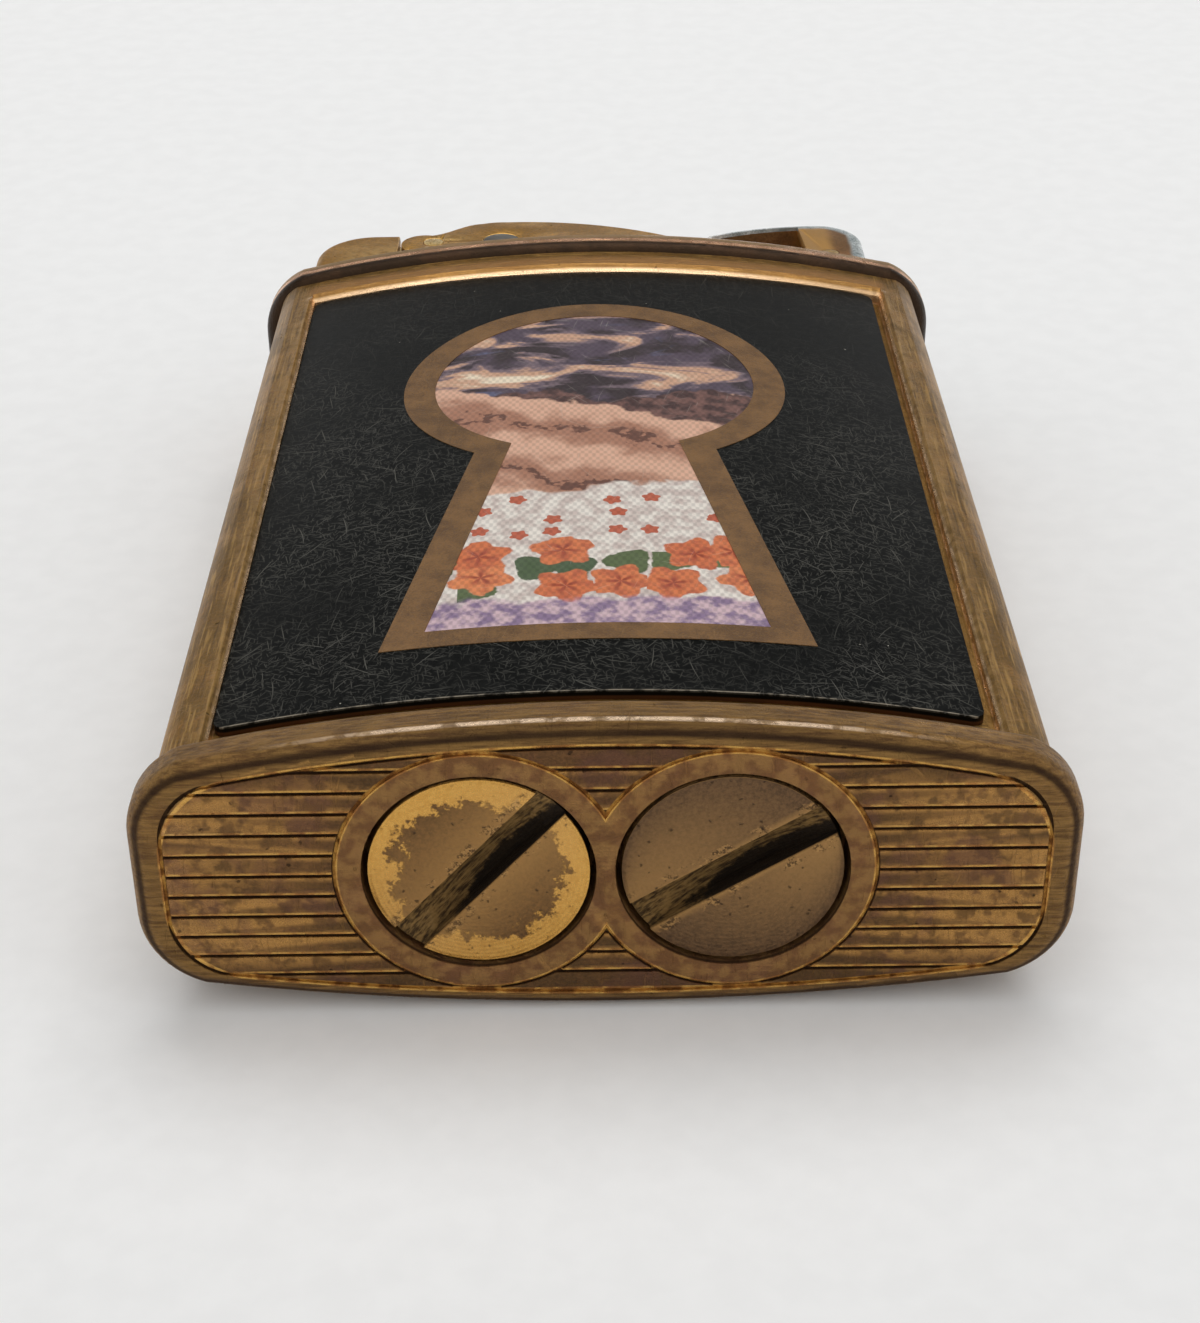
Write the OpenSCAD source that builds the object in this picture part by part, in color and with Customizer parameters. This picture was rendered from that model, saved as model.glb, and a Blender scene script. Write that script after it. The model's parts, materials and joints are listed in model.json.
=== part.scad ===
// Pocket lighter with a thumb lever, lying on its back.
// X runs across the lighter, Y from the base to the mechanism, Z out of the front.
// The back rests on Z = 0, and the length is centred on Y = 0.

/* [Body] */
// Width over the base and top flanges
body_w = 36; // [34:0.5:38]
// Thickness over the base and top flanges
body_t = 13.2; // [12.6:0.1:14]
// Height from the flat of the base to the deck that carries the mechanism
body_h = 48.9; // [48.1:0.1:54]
// Radius of the curved front
face_r = 72; // [66:1:90]
// Radius of the flatter curved back
back_r = 105; // [80:1:140]
// Radius of the flanges' four corners
corner_r = 3.5; // [3.2:0.1:4.2]
// Radius of the case's four long corners
case_corner_r = 1.8; // [1.6:0.1:2]
// Thickness of the base and top flanges
flange_h = 2; // [1.8:0.1:2.4]
// Rounding of the flange edge that shows outermost
flange_round = 0.8; // [0.5:0.1:0.9]
// Rounding of the flange edge next to the case
flange_back_round = 0.4; // [0.2:0.1:0.6]
// Rounding of the top flange next to the case
top_case_round = 0.8; // [0.5:0.1:0.9]
// Rounding of the top flange at the deck
top_deck_round = 0.4; // [0.2:0.1:0.6]
// How far the flanges stand out past the case at each side
flange_side = 0.95; // [0.7:0.05:1.2]
// How far the flanges stand out past the case at front and back
flange_face = 0.3; // [0.2:0.05:0.5]
// Sheet thickness of the case
case_wall = 0.6; // [0.45:0.05:0.7]
// Depth of the plug of each end plate inside the case
plug_h = 1.4; // [1:0.1:2]

/* [Front panel] */
// Width of the enamelled panel
panel_w = 29.4; // [28:0.1:29.6]
// Brass between the upper edge of the panel and the top flange
panel_head = 2.2; // [2.1:0.1:3.4]
// Lower edge of the panel above the flat of the base
panel_y = 3.4; // [3:0.1:4]
// Thickness of the panel
panel_t = 0.4; // [0.3:0.05:0.5]
// How far the panel sits to the left of the middle
panel_shift = 0.2; // [0:0.05:0.25]
// Depth of the panel's face below the frame round it
panel_drop = 0.3; // [0.2:0.05:0.4]
// Gap between the panel and the frame at each side
frame_gap = 0.25; // [0.25:0.05:0.4]
// Gap between the panel and the frame at the top
frame_gap_top = 0.15; // [0.1:0.05:0.4]
// Width of the slope inside the frame at each side
bevel_side = 0.25; // [0.1:0.05:0.4]
// Width of the slope inside the frame at the top
bevel_top = 0.5; // [0.2:0.05:0.6]
// Corner radius of the panel
panel_corner_r = 0.6; // [0.3:0.1:1]

/* [Keyhole] */
// Outer radius of the round head of the gilt keyhole border
key_head_r = 9.1; // [8:0.1:9.4]
// Enamel above the keyhole border
key_head_gap = 4.3; // [3:0.1:5.5]
// Enamel below the keyhole border
key_foot_gap = 3.8; // [2.8:0.1:5.5]
// Width of the keyhole border along its lower edge
key_foot_w = 17.2; // [15:0.1:19]
// Width that the straight sides would reach at the centre of the head
key_neck_w = 8.2; // [7:0.1:9.5]
// Width of the border round the head and along the sides
key_border = 1.5; // [1:0.1:1.8]
// Width of the border along the lower edge
key_border_foot = 1.2; // [0.8:0.1:1.6]
// Depth that the border and the picture are let into the enamel
key_inlay_depth = 0.15; // [0.1:0.01:0.2]
// How far the gilt border stands proud of the enamel
key_proud = 0.03; // [0.01:0.01:0.06]

/* [Base] */
// Distance of each base screw from the middle
screw_x = 4.8; // [4.7:0.05:5.2]
// Radius of the two round openings in the base
hole_r = 4.45; // [4.3:0.05:4.6]
// Radius of the screw heads
head_r = 4.2; // [4:0.05:4.25]
// Thickness of the screw heads
head_h = 1.5; // [1.3:0.1:1.6]
// How far the screw heads lie below the flat of the base
head_drop = 0.15; // [0:0.05:0.3]
// Width of the coin slot
slot_w = 1.45; // [1:0.05:1.8]
// Depth of the coin slot in the middle
slot_depth = 0.95; // [0.6:0.05:1.1]
// Radius of the cutter that leaves the slot's curved floor
slot_cutter_r = 12; // [10:0.5:20]
// Turn of the slot in the flint screw
flint_slot_turn = 48; // [0:1:180]
// Turn of the slot in the fuel screw
fuel_slot_turn = 32; // [0:1:180]
// Thickness of the leather washer under each screw head
washer_h = 0.5; // [0.3:0.05:0.7]
// Radius of the plain ring round each opening
ring_r = 5.55; // [5.3:0.05:5.7]
// Spacing of the ruled lines on the base
rule_pitch = 0.94; // [0.8:0.02:1.2]
// Width of the engraved lines
rule_w = 0.16; // [0.1:0.02:0.25]
// Depth of the engraved lines
rule_depth = 0.12; // [0.05:0.01:0.2]
// Plain margin at each end of the ruled field
field_margin_side = 1.25; // [1:0.05:1.6]
// Plain margin in front of and behind the ruled field
field_margin_face = 0.85; // [0.8:0.05:1.2]
// How much tighter the corners of the ruled field are than those of the flange
field_corner = 0.7; // [0.4:0.1:1.2]

/* [Flint feed] */
// Outer radius of the flint screw's bush
flint_bush_r = 3; // [2.8:0.1:3.6]
// Length of both bushes behind the shoulder
bush_len = 5; // [4:0.1:6]
// Radius of the flint screw's threaded stem
flint_stem_r = 1.62; // [1.5:0.02:1.7]
// Length of the flint screw's stem under its head
flint_stem_len = 4.4; // [3.6:0.1:4.6]
// Outer radius of the flint tube
flint_tube_r = 2.1; // [1.9:0.05:2.3]
// Inner radius of the flint tube
flint_bore_r = 1.42; // [1.4:0.02:1.5]
// Height of the flint tube's mouth above the deck
flint_mouth = 0.9; // [0.5:0.1:1.1]
// Radius of the flint
flint_r = 1.3; // [1.2:0.02:1.32]
// Length of the flint below the deck
flint_below = 1.8; // [1:0.1:4]
// Length of the follower that pushes the flint
follower_len = 2.5; // [1.5:0.1:4]
// Radius of the pips that hold the spring's ends
spring_pip_r = 0.6; // [0.4:0.05:0.65]
// Length of the pips that hold the spring's ends
spring_pip_len = 1.5; // [1:0.1:2]
// Radius of the middle line of the flint spring's coils
spring_r = 1; // [0.95:0.01:1.05]
// Thickness of the flint spring's wire
spring_wire = 0.36; // [0.3:0.02:0.4]
// Number of turns of the flint spring
spring_turns = 24; // [16:1:30]

/* [Fuel] */
// Outer radius of the fuel bush
fuel_bush_r = 3.9; // [3.7:0.05:4]
// Radius of the fuel screw's threaded stem
fuel_stem_r = 3.15; // [2.8:0.05:3.2]
// Length of the fuel screw's stem under its head
fuel_stem_len = 4; // [3:0.1:4.5]
// Distance of the wick to the left of the middle
wick_x = 12.4; // [12.2:0.05:12.5]
// Radius of the wick
wick_r = 1.05; // [0.8:0.05:1.05]
// Outer radius of the wick tube
wick_tube_r = 1.5; // [1.4:0.05:1.6]
// Height of the wick tube above the deck
wick_tube_top = 3.2; // [2.5:0.1:3.4]
// Height of the wick above the deck
wick_top = 3.75; // [3.6:0.05:3.8]
// Length of wick that lies in the wadding
wick_buried = 24; // [15:1:30]
// Gap between the wadding and what surrounds it
wadding_gap = 0.3; // [0.2:0.05:0.5]

/* [Flint wheel] */
// Distance of the wheel axle to the left of the middle
axle_x = 5.3; // [5:0.05:5.4]
// Height of the wheel axle above the deck
axle_v = 4.45; // [4.4:0.05:4.5]
// Radius of the wheel axle
axle_r = 1; // [0.8:0.05:1.1]
// Outer radius of the flint wheel
wheel_r = 2.7; // [2.5:0.05:2.75]
// Width of the flint wheel
wheel_w = 3; // [2:0.1:3]
// Number of teeth on the flint wheel
wheel_teeth = 36; // [24:1:48]
// Depth of the flint wheel's teeth
wheel_tooth = 0.22; // [0.1:0.02:0.3]
// Outer radius of the ratchet
ratchet_r = 2; // [1.9:0.05:2.05]
// Depth of the ratchet's teeth
ratchet_tooth = 0.4; // [0.3:0.02:0.5]
// Thickness of the ratchet
ratchet_w = 0.7; // [0.5:0.05:0.8]
// Number of teeth on the ratchet
ratchet_teeth = 12; // [12:12:12]
// Angle of the ratchet face that the pawl pushes, below level
ratchet_turn = 8; // [7:0.5:9]

/* [Side plates] */
// Half of the width over the two side plates
frame_half = 4.5; // [4.5:0.05:4.7]
// Sheet thickness of the side plates
plate_t = 0.5; // [0.4:0.05:0.5]
// Height of the side plates above the deck
plate_top = 7.3; // [7.25:0.05:7.6]
// Distance of the crown of the long slope to the left of the middle
slope_x = 4.3; // [4:0.1:4.6]
// Radius of the long slope that falls to the right
slope_r = 15.5; // [14:0.5:18]
// Gap between the side plates and the swing of the thumb lever's tip
swing_gap = 0.12; // [0.1:0.01:0.2]
// Radius of the left lobes of the side plates
lobe_r = 1.3; // [1.1:0.05:1.35]
// Distance from the middle of the point where the lobe's rise meets the guard
shoulder_x = 6.4; // [6.2:0.1:6.8]
// Height above the deck of that point
shoulder_v = 7.06; // [7:0.01:7.1]
// Width of the tabs that hold the side plates in the deck
tab_w = 2; // [1.5:0.1:2.4]
// Depth of the tabs in the deck
tab_h = 1.2; // [0.8:0.1:1.6]

/* [Snuffer] */
// Distance of the snuffer rivets to the left of the middle
rivet_x = 9.1; // [9.05:0.05:9.2]
// Height of the snuffer rivets above the deck
rivet_v = 4.3; // [4.25:0.05:4.4]
// Radius of the snuffer rivets
rivet_r = 0.55; // [0.5:0.05:0.7]
// Height of the snuffer cap above the deck
cap_top = 5.65; // [5.5:0.05:5.75]
// Height of the snuffer cap's open edge above the deck
cap_foot = 0.4; // [0.2:0.1:1]
// Distance of the snuffer cap's left end from the middle
cap_left = 15.5; // [15.2:0.05:15.6]
// Distance of the snuffer cap's right edge from the middle
cap_right = 11.05; // [11:0.05:11.2]
// Radius of the snuffer cap's round shoulder
cap_shoulder_r = 3.2; // [2.8:0.1:3.3]
// Sheet thickness of the snuffer cap
cap_wall = 0.5; // [0.4:0.05:0.5]
// Depth of the snuffer arm below its rivets
ear_low = 0.7; // [0.5:0.05:0.9]
// Rounding along the snuffer cap's long edges
cap_edge_r = 0.6; // [0.55:0.05:0.8]
// Radius of the pad that closes the wick tube
pad_r = 1.5; // [1.45:0.01:1.52]

/* [Thumb lever] */
// Distance of the thumb lever's pin from the middle
thumb_x = 12.9; // [12.8:0.05:13]
// Height of the thumb lever's pin above the deck
thumb_v = 2; // [1.9:0.05:2.1]
// Radius of the thumb lever's pin
thumb_pin_r = 0.5; // [0.4:0.05:0.6]
// Height of the thumb lever's crown above the deck
thumb_top = 6.5; // [6.4:0.02:6.56]
// Distance of the crown from the middle
thumb_crown_x = 12.4; // [12.3:0.05:12.5]
// Radius of the long curve of the thumb lever
thumb_arc_r = 14; // [13.8:0.1:14.4]
// Angle that the long curve runs through
thumb_arc = 26; // [24:0.5:26]
// Radius of the thumb lever's round right end
thumb_end_r = 2.5; // [2.3:0.05:2.6]
// Sheet thickness of the thumb lever
thumb_wall = 0.55; // [0.45:0.05:0.6]
// Rounding along the thumb lever's long edges
thumb_edge_r = 0.5; // [0.3:0.05:0.5]
// Left edge of the thumb lever's side skirts from the middle
skirt_x = 11.4; // [11.2:0.1:11.6]
// Height of the skirts' lower edge above the deck
skirt_foot = 0.7; // [0.6:0.1:1.2]

/* [Drive lever] */
// Half of the width over the drive lever
drive_half = 3.2; // [3.1:0.02:3.22]
// Sheet thickness of the drive lever
drive_t = 0.5; // [0.4:0.05:0.5]
// Distance of the finger's nose to the left of the middle
nose_x = 10.7; // [10.6:0.05:10.75]
// Height of the finger's nose above the deck
nose_v = 4.05; // [3.95:0.05:4.1]
// Lost motion between the finger's nose and the snuffer arm
nose_play = 0.25; // [0.2:0.05:0.35]
// Radius of the finger's nose
nose_r = 0.25; // [0.2:0.01:0.28]
// Distance of the finger's elbow to the left of the middle
elbow_x = 9.7; // [9.3:0.1:9.9]
// Height of the finger's elbow above the deck
elbow_v = 2.5; // [2.2:0.1:2.8]
// Left edge of the cross bar that the press arm pushes, from the middle
bar_x = 0.7; // [0.5:0.1:0.9]
// Width of the cross bar
bar_w = 1.3; // [1:0.1:1.4]
// Height of the cross bar's top above the deck
bar_v = 3.5; // [3.4:0.05:3.55]
// Radius of the pawl's pin
pawl_pin_r = 0.4; // [0.3:0.05:0.45]
// Distance of the pawl's pin to the right of the wheel axle
pawl_dx = 3.1; // [3.05:0.05:3.2]
// Distance of the pawl's pin above the wheel axle
pawl_dv = 1.5; // [1.45:0.05:1.6]
// Thickness of the pawl
pawl_t = 0.65; // [0.5:0.05:0.7]

/* [Clearances] */
// Play of a fixed piece in its seat
seat_gap = 0.03; // [0.02:0.01:0.05]
// Play of a turning or sliding piece round its pin
run_gap = 0.05; // [0.03:0.01:0.08]
// Gap between moving pieces side by side
side_gap = 0.1; // [0.08:0.01:0.12]
// Gap between the press arm and the cross bar at rest
press_gap = 0.09; // [0.05:0.01:0.15]

/* [Hidden] */

// Facets of wide arcs and of ordinary rounds
fn_wide = 360;
fn = 64;
$fn = fn;
// Extra length of a cutter past the face that it cuts
past = 1;

// Overall sizes
mid_z = body_t / 2;
overall = body_h + plate_top;
case_half_w = body_w / 2 - flange_side;
case_half_t = body_t / 2 - flange_face;
case_r = face_r - flange_face;
case_back_r = back_r - flange_face;
arc_z = case_half_t - case_r;
panel_r = case_r - panel_drop;
floor_r = panel_r - panel_t;
panel_h = body_h - flange_h - panel_head - panel_y;
key_head_y = panel_y + panel_h - key_head_gap - key_head_r;
key_foot_y = panel_y + key_foot_gap;
recess_half_w = panel_w / 2 + frame_gap;
recess_top = panel_y + panel_h + frame_gap_top;

// Heights along the base screws
shoulder_y = head_drop + head_h + washer_h;
head_back_y = head_drop + head_h;
bush_top_y = shoulder_y + bush_len;
flint_seat_y = bush_top_y - 1;
spring_low_y = head_back_y + flint_stem_len;
follower_low_y = body_h - flint_below - follower_len;
wadding_low_y = bush_top_y + wadding_gap;
wadding_top_y = body_h - flange_h - plug_h - wadding_gap;

// Layers of the mechanism, measured from its middle plane
plate_in = frame_half - plate_t;
drive_in = drive_half - drive_t;
ear_in = drive_half + side_gap;
ear_out = plate_in - 2 * side_gap;
ratchet_z = wheel_w / 2 + run_gap;
pawl_z = ratchet_z + run_gap;
guard_r = plate_top - axle_v;
lobe_x = rivet_x + 0.5;
lobe_v = rivet_v - 0.2;
thumb_arc_v = thumb_top - thumb_arc_r;
end_v = thumb_top - thumb_end_r;
tip_mid_r = thumb_arc_r - thumb_wall / 2;
tip_dx = thumb_crown_x - tip_mid_r * sin(thumb_arc) - thumb_x;
tip_dv = thumb_arc_v + tip_mid_r * cos(thumb_arc) - thumb_v;
thumb_swing_r = norm([tip_dx, tip_dv]) + thumb_wall / 2;
press_half = wheel_w / 2 + 0.3;
press_t = 0.6;
pawl_x = -axle_x + pawl_dx;
pawl_v = axle_v + pawl_dv;
pad_v = nose_v + nose_r + nose_play;

// Distance of a corner round's middle from the middle line, for a wide arc of radius r.
// It is a little more than for a tangent round, so that the round crosses the wide arc.
function corner_rise(hw, ht, r, rc) = sqrt(pow(r - rc, 2) - pow(hw - rc, 2)) - (r - ht) + 0.06;

// Half width over which the wide arc runs, up to where it crosses a corner of radius rc less an inset
function arc_half(hw, ht, r, rc, inset) =
  hw - rc + (rc - inset) * cos(atan2(r - ht + corner_rise(hw, ht, r, rc), hw - rc));

// Section of the lighter: a front arc, a flatter back arc, and sides with rounded corners
module lens(hw, ht, front, back, rc) {
  cx = hw - rc;
  up = corner_rise(hw, ht, front, rc);
  down = corner_rise(hw, ht, back, rc);
  front_half = arc_half(hw, ht, front, rc, 0);
  back_half = arc_half(hw, ht, back, rc, 0);
  intersection() {
    translate([0, ht - front]) circle(front, $fn = fn_wide);
    translate([0, back - ht]) circle(back, $fn = fn_wide);
    union() {
      translate([-front_half, 0]) square([2 * front_half, ht + past]);
      translate([-back_half, -ht - past]) square([2 * back_half, ht + past]);
      translate([-hw, -down]) square([2 * hw, up + down]);
      for (s = [-1, 1]) for (v = [up, -down]) translate([s * cx, v]) circle(rc, $fn = 96);
    }
  }
}

// Places a drawing of the X Z plane, and runs it along Y
module along_y(y, h) translate([0, y + h, mid_z]) rotate([90, 0, 0]) linear_extrude(h) children();

// Places a solid drawn round the Z axis so that it points along +Y
module point_y(x, y) translate([x, y, mid_z]) rotate([-90, 0, 0]) children();

// Moves a solid of the mechanism onto the deck
module on_deck() translate([0, body_h, mid_z]) children();

// Centres the lighter's length on the origin
module centred() translate([0, -overall / 2, 0]) children();

// Half section of a disc with a rounded outer edge at each face
module disc_section(r, low_r, high_r) {
  h = flange_h;
  square([r - max(low_r, high_r), h]);
  translate([0, low_r]) square([r, h - low_r - high_r]);
  square([r - low_r, h / 2]);
  translate([0, h / 2]) square([r - high_r, h / 2]);
  translate([r - low_r, low_r]) circle(low_r, $fn = 32);
  translate([r - high_r, h - high_r]) circle(high_r, $fn = 32);
}

// Flange of the same section with both rims rounded, its lower face on Y = 0
module flange(low_r, high_r) {
  hw = body_w / 2;
  ht = body_t / 2;
  cx = hw - corner_r;
  up = corner_rise(hw, ht, face_r, corner_r);
  down = corner_rise(hw, ht, back_r, corner_r);
  inset = max(low_r, high_r) / 2;
  front_half = arc_half(hw, ht, face_r, corner_r, inset);
  back_half = arc_half(hw, ht, back_r, corner_r, inset);
  tall = flange_h + 2 * past;
  translate([0, 0, mid_z]) rotate([-90, 0, 0]) intersection() {
    translate([0, face_r - ht, 0]) rotate_extrude($fn = fn_wide) disc_section(face_r, low_r, high_r);
    translate([0, ht - back_r, 0]) rotate_extrude($fn = fn_wide) disc_section(back_r, low_r, high_r);
    union() {
      translate([-front_half, -ht - past, -past]) cube([2 * front_half, ht + past, tall]);
      translate([-back_half, 0, -past]) cube([2 * back_half, ht + past, tall]);
      for (s = [0, 1]) mirror([s, 0, 0]) {
        translate([cx, -up, 0]) rotate([0, 0, -90]) rotate_extrude(angle = 90, $fn = 96)
          disc_section(corner_r, low_r, high_r);
        translate([cx, down, 0]) rotate_extrude(angle = 90, $fn = 96) disc_section(corner_r, low_r, high_r);
        translate([cx, down, 0]) rotate([90, 0, 0]) linear_extrude(up + down) disc_section(corner_r, low_r, high_r);
      }
    }
  }
}

// Hollow of the case, drawn smaller by the given clearance
module cavity(gap) {
  inset = case_wall + gap;
  intersection() {
    lens(case_half_w - inset, case_half_t - inset, case_r - inset, case_back_r - inset, case_corner_r - inset);
    translate([0, arc_z]) circle(floor_r - inset, $fn = fn_wide);
  }
}

// Round bar along Y that follows the curve of the front
module front_arc(r, y, h) translate([0, y + h, mid_z + arc_z]) rotate([90, 0, 0]) cylinder(r = r, h = h, $fn = fn_wide);

// Tube along Y
module tube(x, y, h, r_out, r_in) point_y(x, y) difference() {
  cylinder(r = r_out, h = h);
  translate([0, 0, -past]) cylinder(r = r_in, h = h + 2 * past);
}

// Rectangle with rounded corners, its lower left corner at x, y
module round_rect(x, y, w, h, r) {
  translate([x, y + r]) square([w, h - 2 * r]);
  translate([x + r, y]) square([w - 2 * r, h]);
  for (i = [r, w - r]) for (j = [r, h - r]) translate([x + i, y + j]) circle(r, $fn = 32);
}

// Two rounds joined by their outer tangents
module link(a, ra, b, rb) {
  ab = b - a;
  run = atan2(ab.y, ab.x);
  lean = acos((ra - rb) / norm(ab));
  n1 = [cos(run + lean), sin(run + lean)];
  n2 = [cos(run - lean), sin(run - lean)];
  translate(a) circle(ra, $fn = 48);
  translate(b) circle(rb, $fn = 48);
  polygon([a + ra * n1, b + rb * n1, b + rb * n2, a + ra * n2]);
}

// Keyhole outline: the round head, then the flared foot
module keyhole(inset, foot_inset) {
  slope = (key_foot_w - key_neck_w) / 2 / (key_head_y - key_foot_y);
  side = inset * sqrt(1 + slope * slope);
  foot = key_foot_y + foot_inset;
  foot_half = key_foot_w / 2 - slope * foot_inset - side;
  neck_half = key_neck_w / 2 - side;
  translate([0, key_head_y]) circle(key_head_r - inset, $fn = 128);
  polygon([[-foot_half, foot], [foot_half, foot], [neck_half, key_head_y], [-neck_half, key_head_y]]);
}

// Layer that follows the panel's curve between two depths, cut to a drawing of the X Y plane
module curved_layer(depth_out, depth_in) intersection() {
  translate([-panel_shift, 0, mid_z]) linear_extrude(body_t) children();
  difference() {
    front_arc(panel_r - depth_out, 0, body_h);
    front_arc(panel_r - depth_in, -past, body_h + 2 * past);
  }
}

// Case

module case_shell() color([0.62, 0.45, 0.2]) centred() {
  low = flange_h;
  high = body_h - flange_h;
  difference() {
    along_y(low, high - low) lens(case_half_w, case_half_t, case_r, case_back_r, case_corner_r);
    along_y(low - past, high - low + 2 * past) cavity(0);
    panel_recess();
  }
}

// Bed of the panel, open towards the base, with a sloped frame on three sides
module panel_recess() {
  ridge = recess_half_w + bevel_side;
  corner_half = recess_half_w + bevel_side / 2;
  difference() {
    translate([-recess_half_w, 0, mid_z]) cube([2 * recess_half_w, recess_top, body_t]);
    front_arc(floor_r, -past, body_h);
  }
  for (s = [-1, 1]) {
    edge_z = arc_z + sqrt(panel_r * panel_r - recess_half_w * recess_half_w);
    ridge_z = arc_z + sqrt(case_r * case_r - ridge * ridge);
    rise = (ridge_z - edge_z) / bevel_side;
    along_y(0, recess_top) polygon([
      [s * (recess_half_w - 0.01), edge_z - 0.01 * rise],
      [s * (ridge + 0.1), ridge_z + 0.1 * rise],
      [s * (recess_half_w - 0.01), ridge_z + 0.1 * rise]
    ]);
  }
  top_rise = panel_drop / bevel_top;
  intersection() {
    translate([-corner_half, 0, mid_z]) cube([2 * corner_half, body_h, body_t]);
    translate([0, recess_top, mid_z + arc_z]) rotate([-90, 0, 0]) rotate_extrude($fn = fn_wide) polygon([
      [panel_r - 0.01 * top_rise, -0.01],
      [case_r + 0.1 * top_rise, bevel_top + 0.1],
      [case_r + 0.1 * top_rise, -0.01]
    ]);
  }
}

module base_plate() color([0.6, 0.43, 0.2]) centred() difference() {
  union() {
    flange(flange_round, flange_back_round);
    along_y(flange_h - past, plug_h + past) cavity(seat_gap);
  }
  for (s = [-1, 1]) point_y(s * screw_x, -past) cylinder(r = hole_r, h = shoulder_y + past);
  point_y(-screw_x, 0) cylinder(r = flint_bush_r + seat_gap, h = body_h / 2);
  point_y(screw_x, 0) cylinder(r = fuel_bush_r + seat_gap, h = body_h / 2);
  along_y(-past, past + rule_depth) engraving();
}

// Plain field of the base inside its margin, less the two rings
module ruled_field() difference() {
  base_field(0);
  rings(0);
}

module base_field(inset) lens(
  body_w / 2 - field_margin_side - inset,
  body_t / 2 - field_margin_face - inset,
  face_r - field_margin_face - inset,
  back_r - field_margin_face - inset,
  corner_r - field_corner - inset
);

module rings(inset) for (s = [-1, 1]) translate([s * screw_x, 0]) circle(ring_r - inset, $fn = 96);

// Engraved lines of the base: rules across the field, its margin line and the rings
module engraving() {
  count = floor((body_t / 2 - field_margin_face) / rule_pitch);
  intersection() {
    ruled_field();
    for (i = [-count : count]) {
      translate([0, i * rule_pitch]) square([body_w, rule_w], center = true);
    }
  }
  difference() {
    base_field(0);
    base_field(rule_w);
  }
  intersection() {
    base_field(0);
    difference() {
      rings(0);
      rings(rule_w);
    }
  }
}

module top_plate() color([0.58, 0.42, 0.2]) centred() difference() {
  union() {
    translate([0, body_h - flange_h, 0]) flange(top_case_round, top_deck_round);
    along_y(body_h - flange_h - plug_h, plug_h + past) cavity(seat_gap);
  }
  point_y(-screw_x, body_h / 2) cylinder(r = flint_tube_r + seat_gap, h = body_h);
  point_y(-wick_x, body_h / 2) cylinder(r = wick_tube_r + seat_gap, h = body_h);
  on_deck() for (s = [-1, 1]) for (x = tab_places()) {
    translate([x - tab_w / 2 - seat_gap, -tab_h - seat_gap, s * (frame_half - plate_t / 2) - plate_t / 2 - seat_gap])
      cube([tab_w + 2 * seat_gap, tab_h + past, plate_t + 2 * seat_gap]);
  }
  on_deck() translate([thumb_x - bracket_rivet_dx, 0, 0]) rotate([90, 0, 0])
    cylinder(r = bracket_rivet_r + seat_gap, h = 1.4, $fn = 24);
}

// Front panel

module front_panel() color([0.05, 0.05, 0.055]) centred() difference() {
  curved_layer(0, panel_t) round_rect(-panel_w / 2, panel_y, panel_w, panel_h, panel_corner_r);
  curved_layer(-past, key_inlay_depth) keyhole(0, 0);
}

module keyhole_border() color([0.55, 0.4, 0.2]) centred() curved_layer(-key_proud, key_inlay_depth) difference() {
  keyhole(0, 0);
  keyhole(key_border, key_border_foot);
}

module keyhole_picture() color([0.85, 0.62, 0.5]) centred()
  curved_layer(0, key_inlay_depth) keyhole(key_border, key_border_foot);

// Base screws and the flint feed

// Slot with a curved floor, across a head whose face is at Y = 0
module coin_slot(turn) rotate([0, 0, turn]) translate([0, 0, slot_depth - slot_cutter_r])
  rotate([90, 0, 0]) translate([0, 0, -slot_w / 2]) cylinder(r = slot_cutter_r, h = slot_w, $fn = 180);

module slotted_head(x, turn) point_y(x, head_drop) difference() {
  cylinder(r = head_r, h = head_h);
  mirror([0, 1, 0]) coin_slot(turn);
}

module fuel_screw() color([0.5, 0.36, 0.2]) centred() {
  slotted_head(screw_x, fuel_slot_turn);
  point_y(screw_x, head_back_y) cylinder(r = fuel_stem_r, h = fuel_stem_len);
}

module fuel_washer() color([0.35, 0.22, 0.12]) centred() tube(screw_x, head_back_y, washer_h, head_r, fuel_stem_r + run_gap);

module flint_screw() color([0.7, 0.55, 0.2]) centred() {
  slotted_head(-screw_x, flint_slot_turn);
  point_y(-screw_x, head_back_y) cylinder(r = flint_stem_r, h = flint_stem_len);
  point_y(-screw_x, spring_low_y) cylinder(r = spring_pip_r, h = spring_pip_len);
}

module flint_washer() color([0.35, 0.22, 0.12]) centred() tube(-screw_x, head_back_y, washer_h, head_r, flint_stem_r + run_gap);

module flint_bush() color([0.66, 0.5, 0.24]) centred() difference() {
  tube(-screw_x, shoulder_y, bush_len, flint_bush_r, flint_stem_r + run_gap);
  point_y(-screw_x, flint_seat_y) cylinder(r = flint_tube_r + seat_gap, h = bush_len);
}

module filler_bush() color([0.66, 0.5, 0.24]) centred()
  tube(screw_x, shoulder_y, bush_len, fuel_bush_r, fuel_stem_r + run_gap);

module flint_tube() color([0.68, 0.52, 0.26]) centred()
  tube(-screw_x, flint_seat_y, body_h + flint_mouth - flint_seat_y, flint_tube_r, flint_bore_r);

// The flint's end is worn to the round of the wheel
module flint() color([0.35, 0.34, 0.33]) centred() difference() {
  point_y(-screw_x, body_h - flint_below) cylinder(r = flint_r, h = flint_below + axle_v - wheel_r / 2);
  on_deck() translate([-axle_x, axle_v, -wheel_w]) cylinder(r = wheel_r + run_gap, h = 2 * wheel_w, $fn = 96);
  on_deck() translate([-axle_x - wheel_r, axle_v - wheel_r + 0.6, -wheel_w]) cube([2 * wheel_r, wheel_r, 2 * wheel_w]);
}

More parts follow.
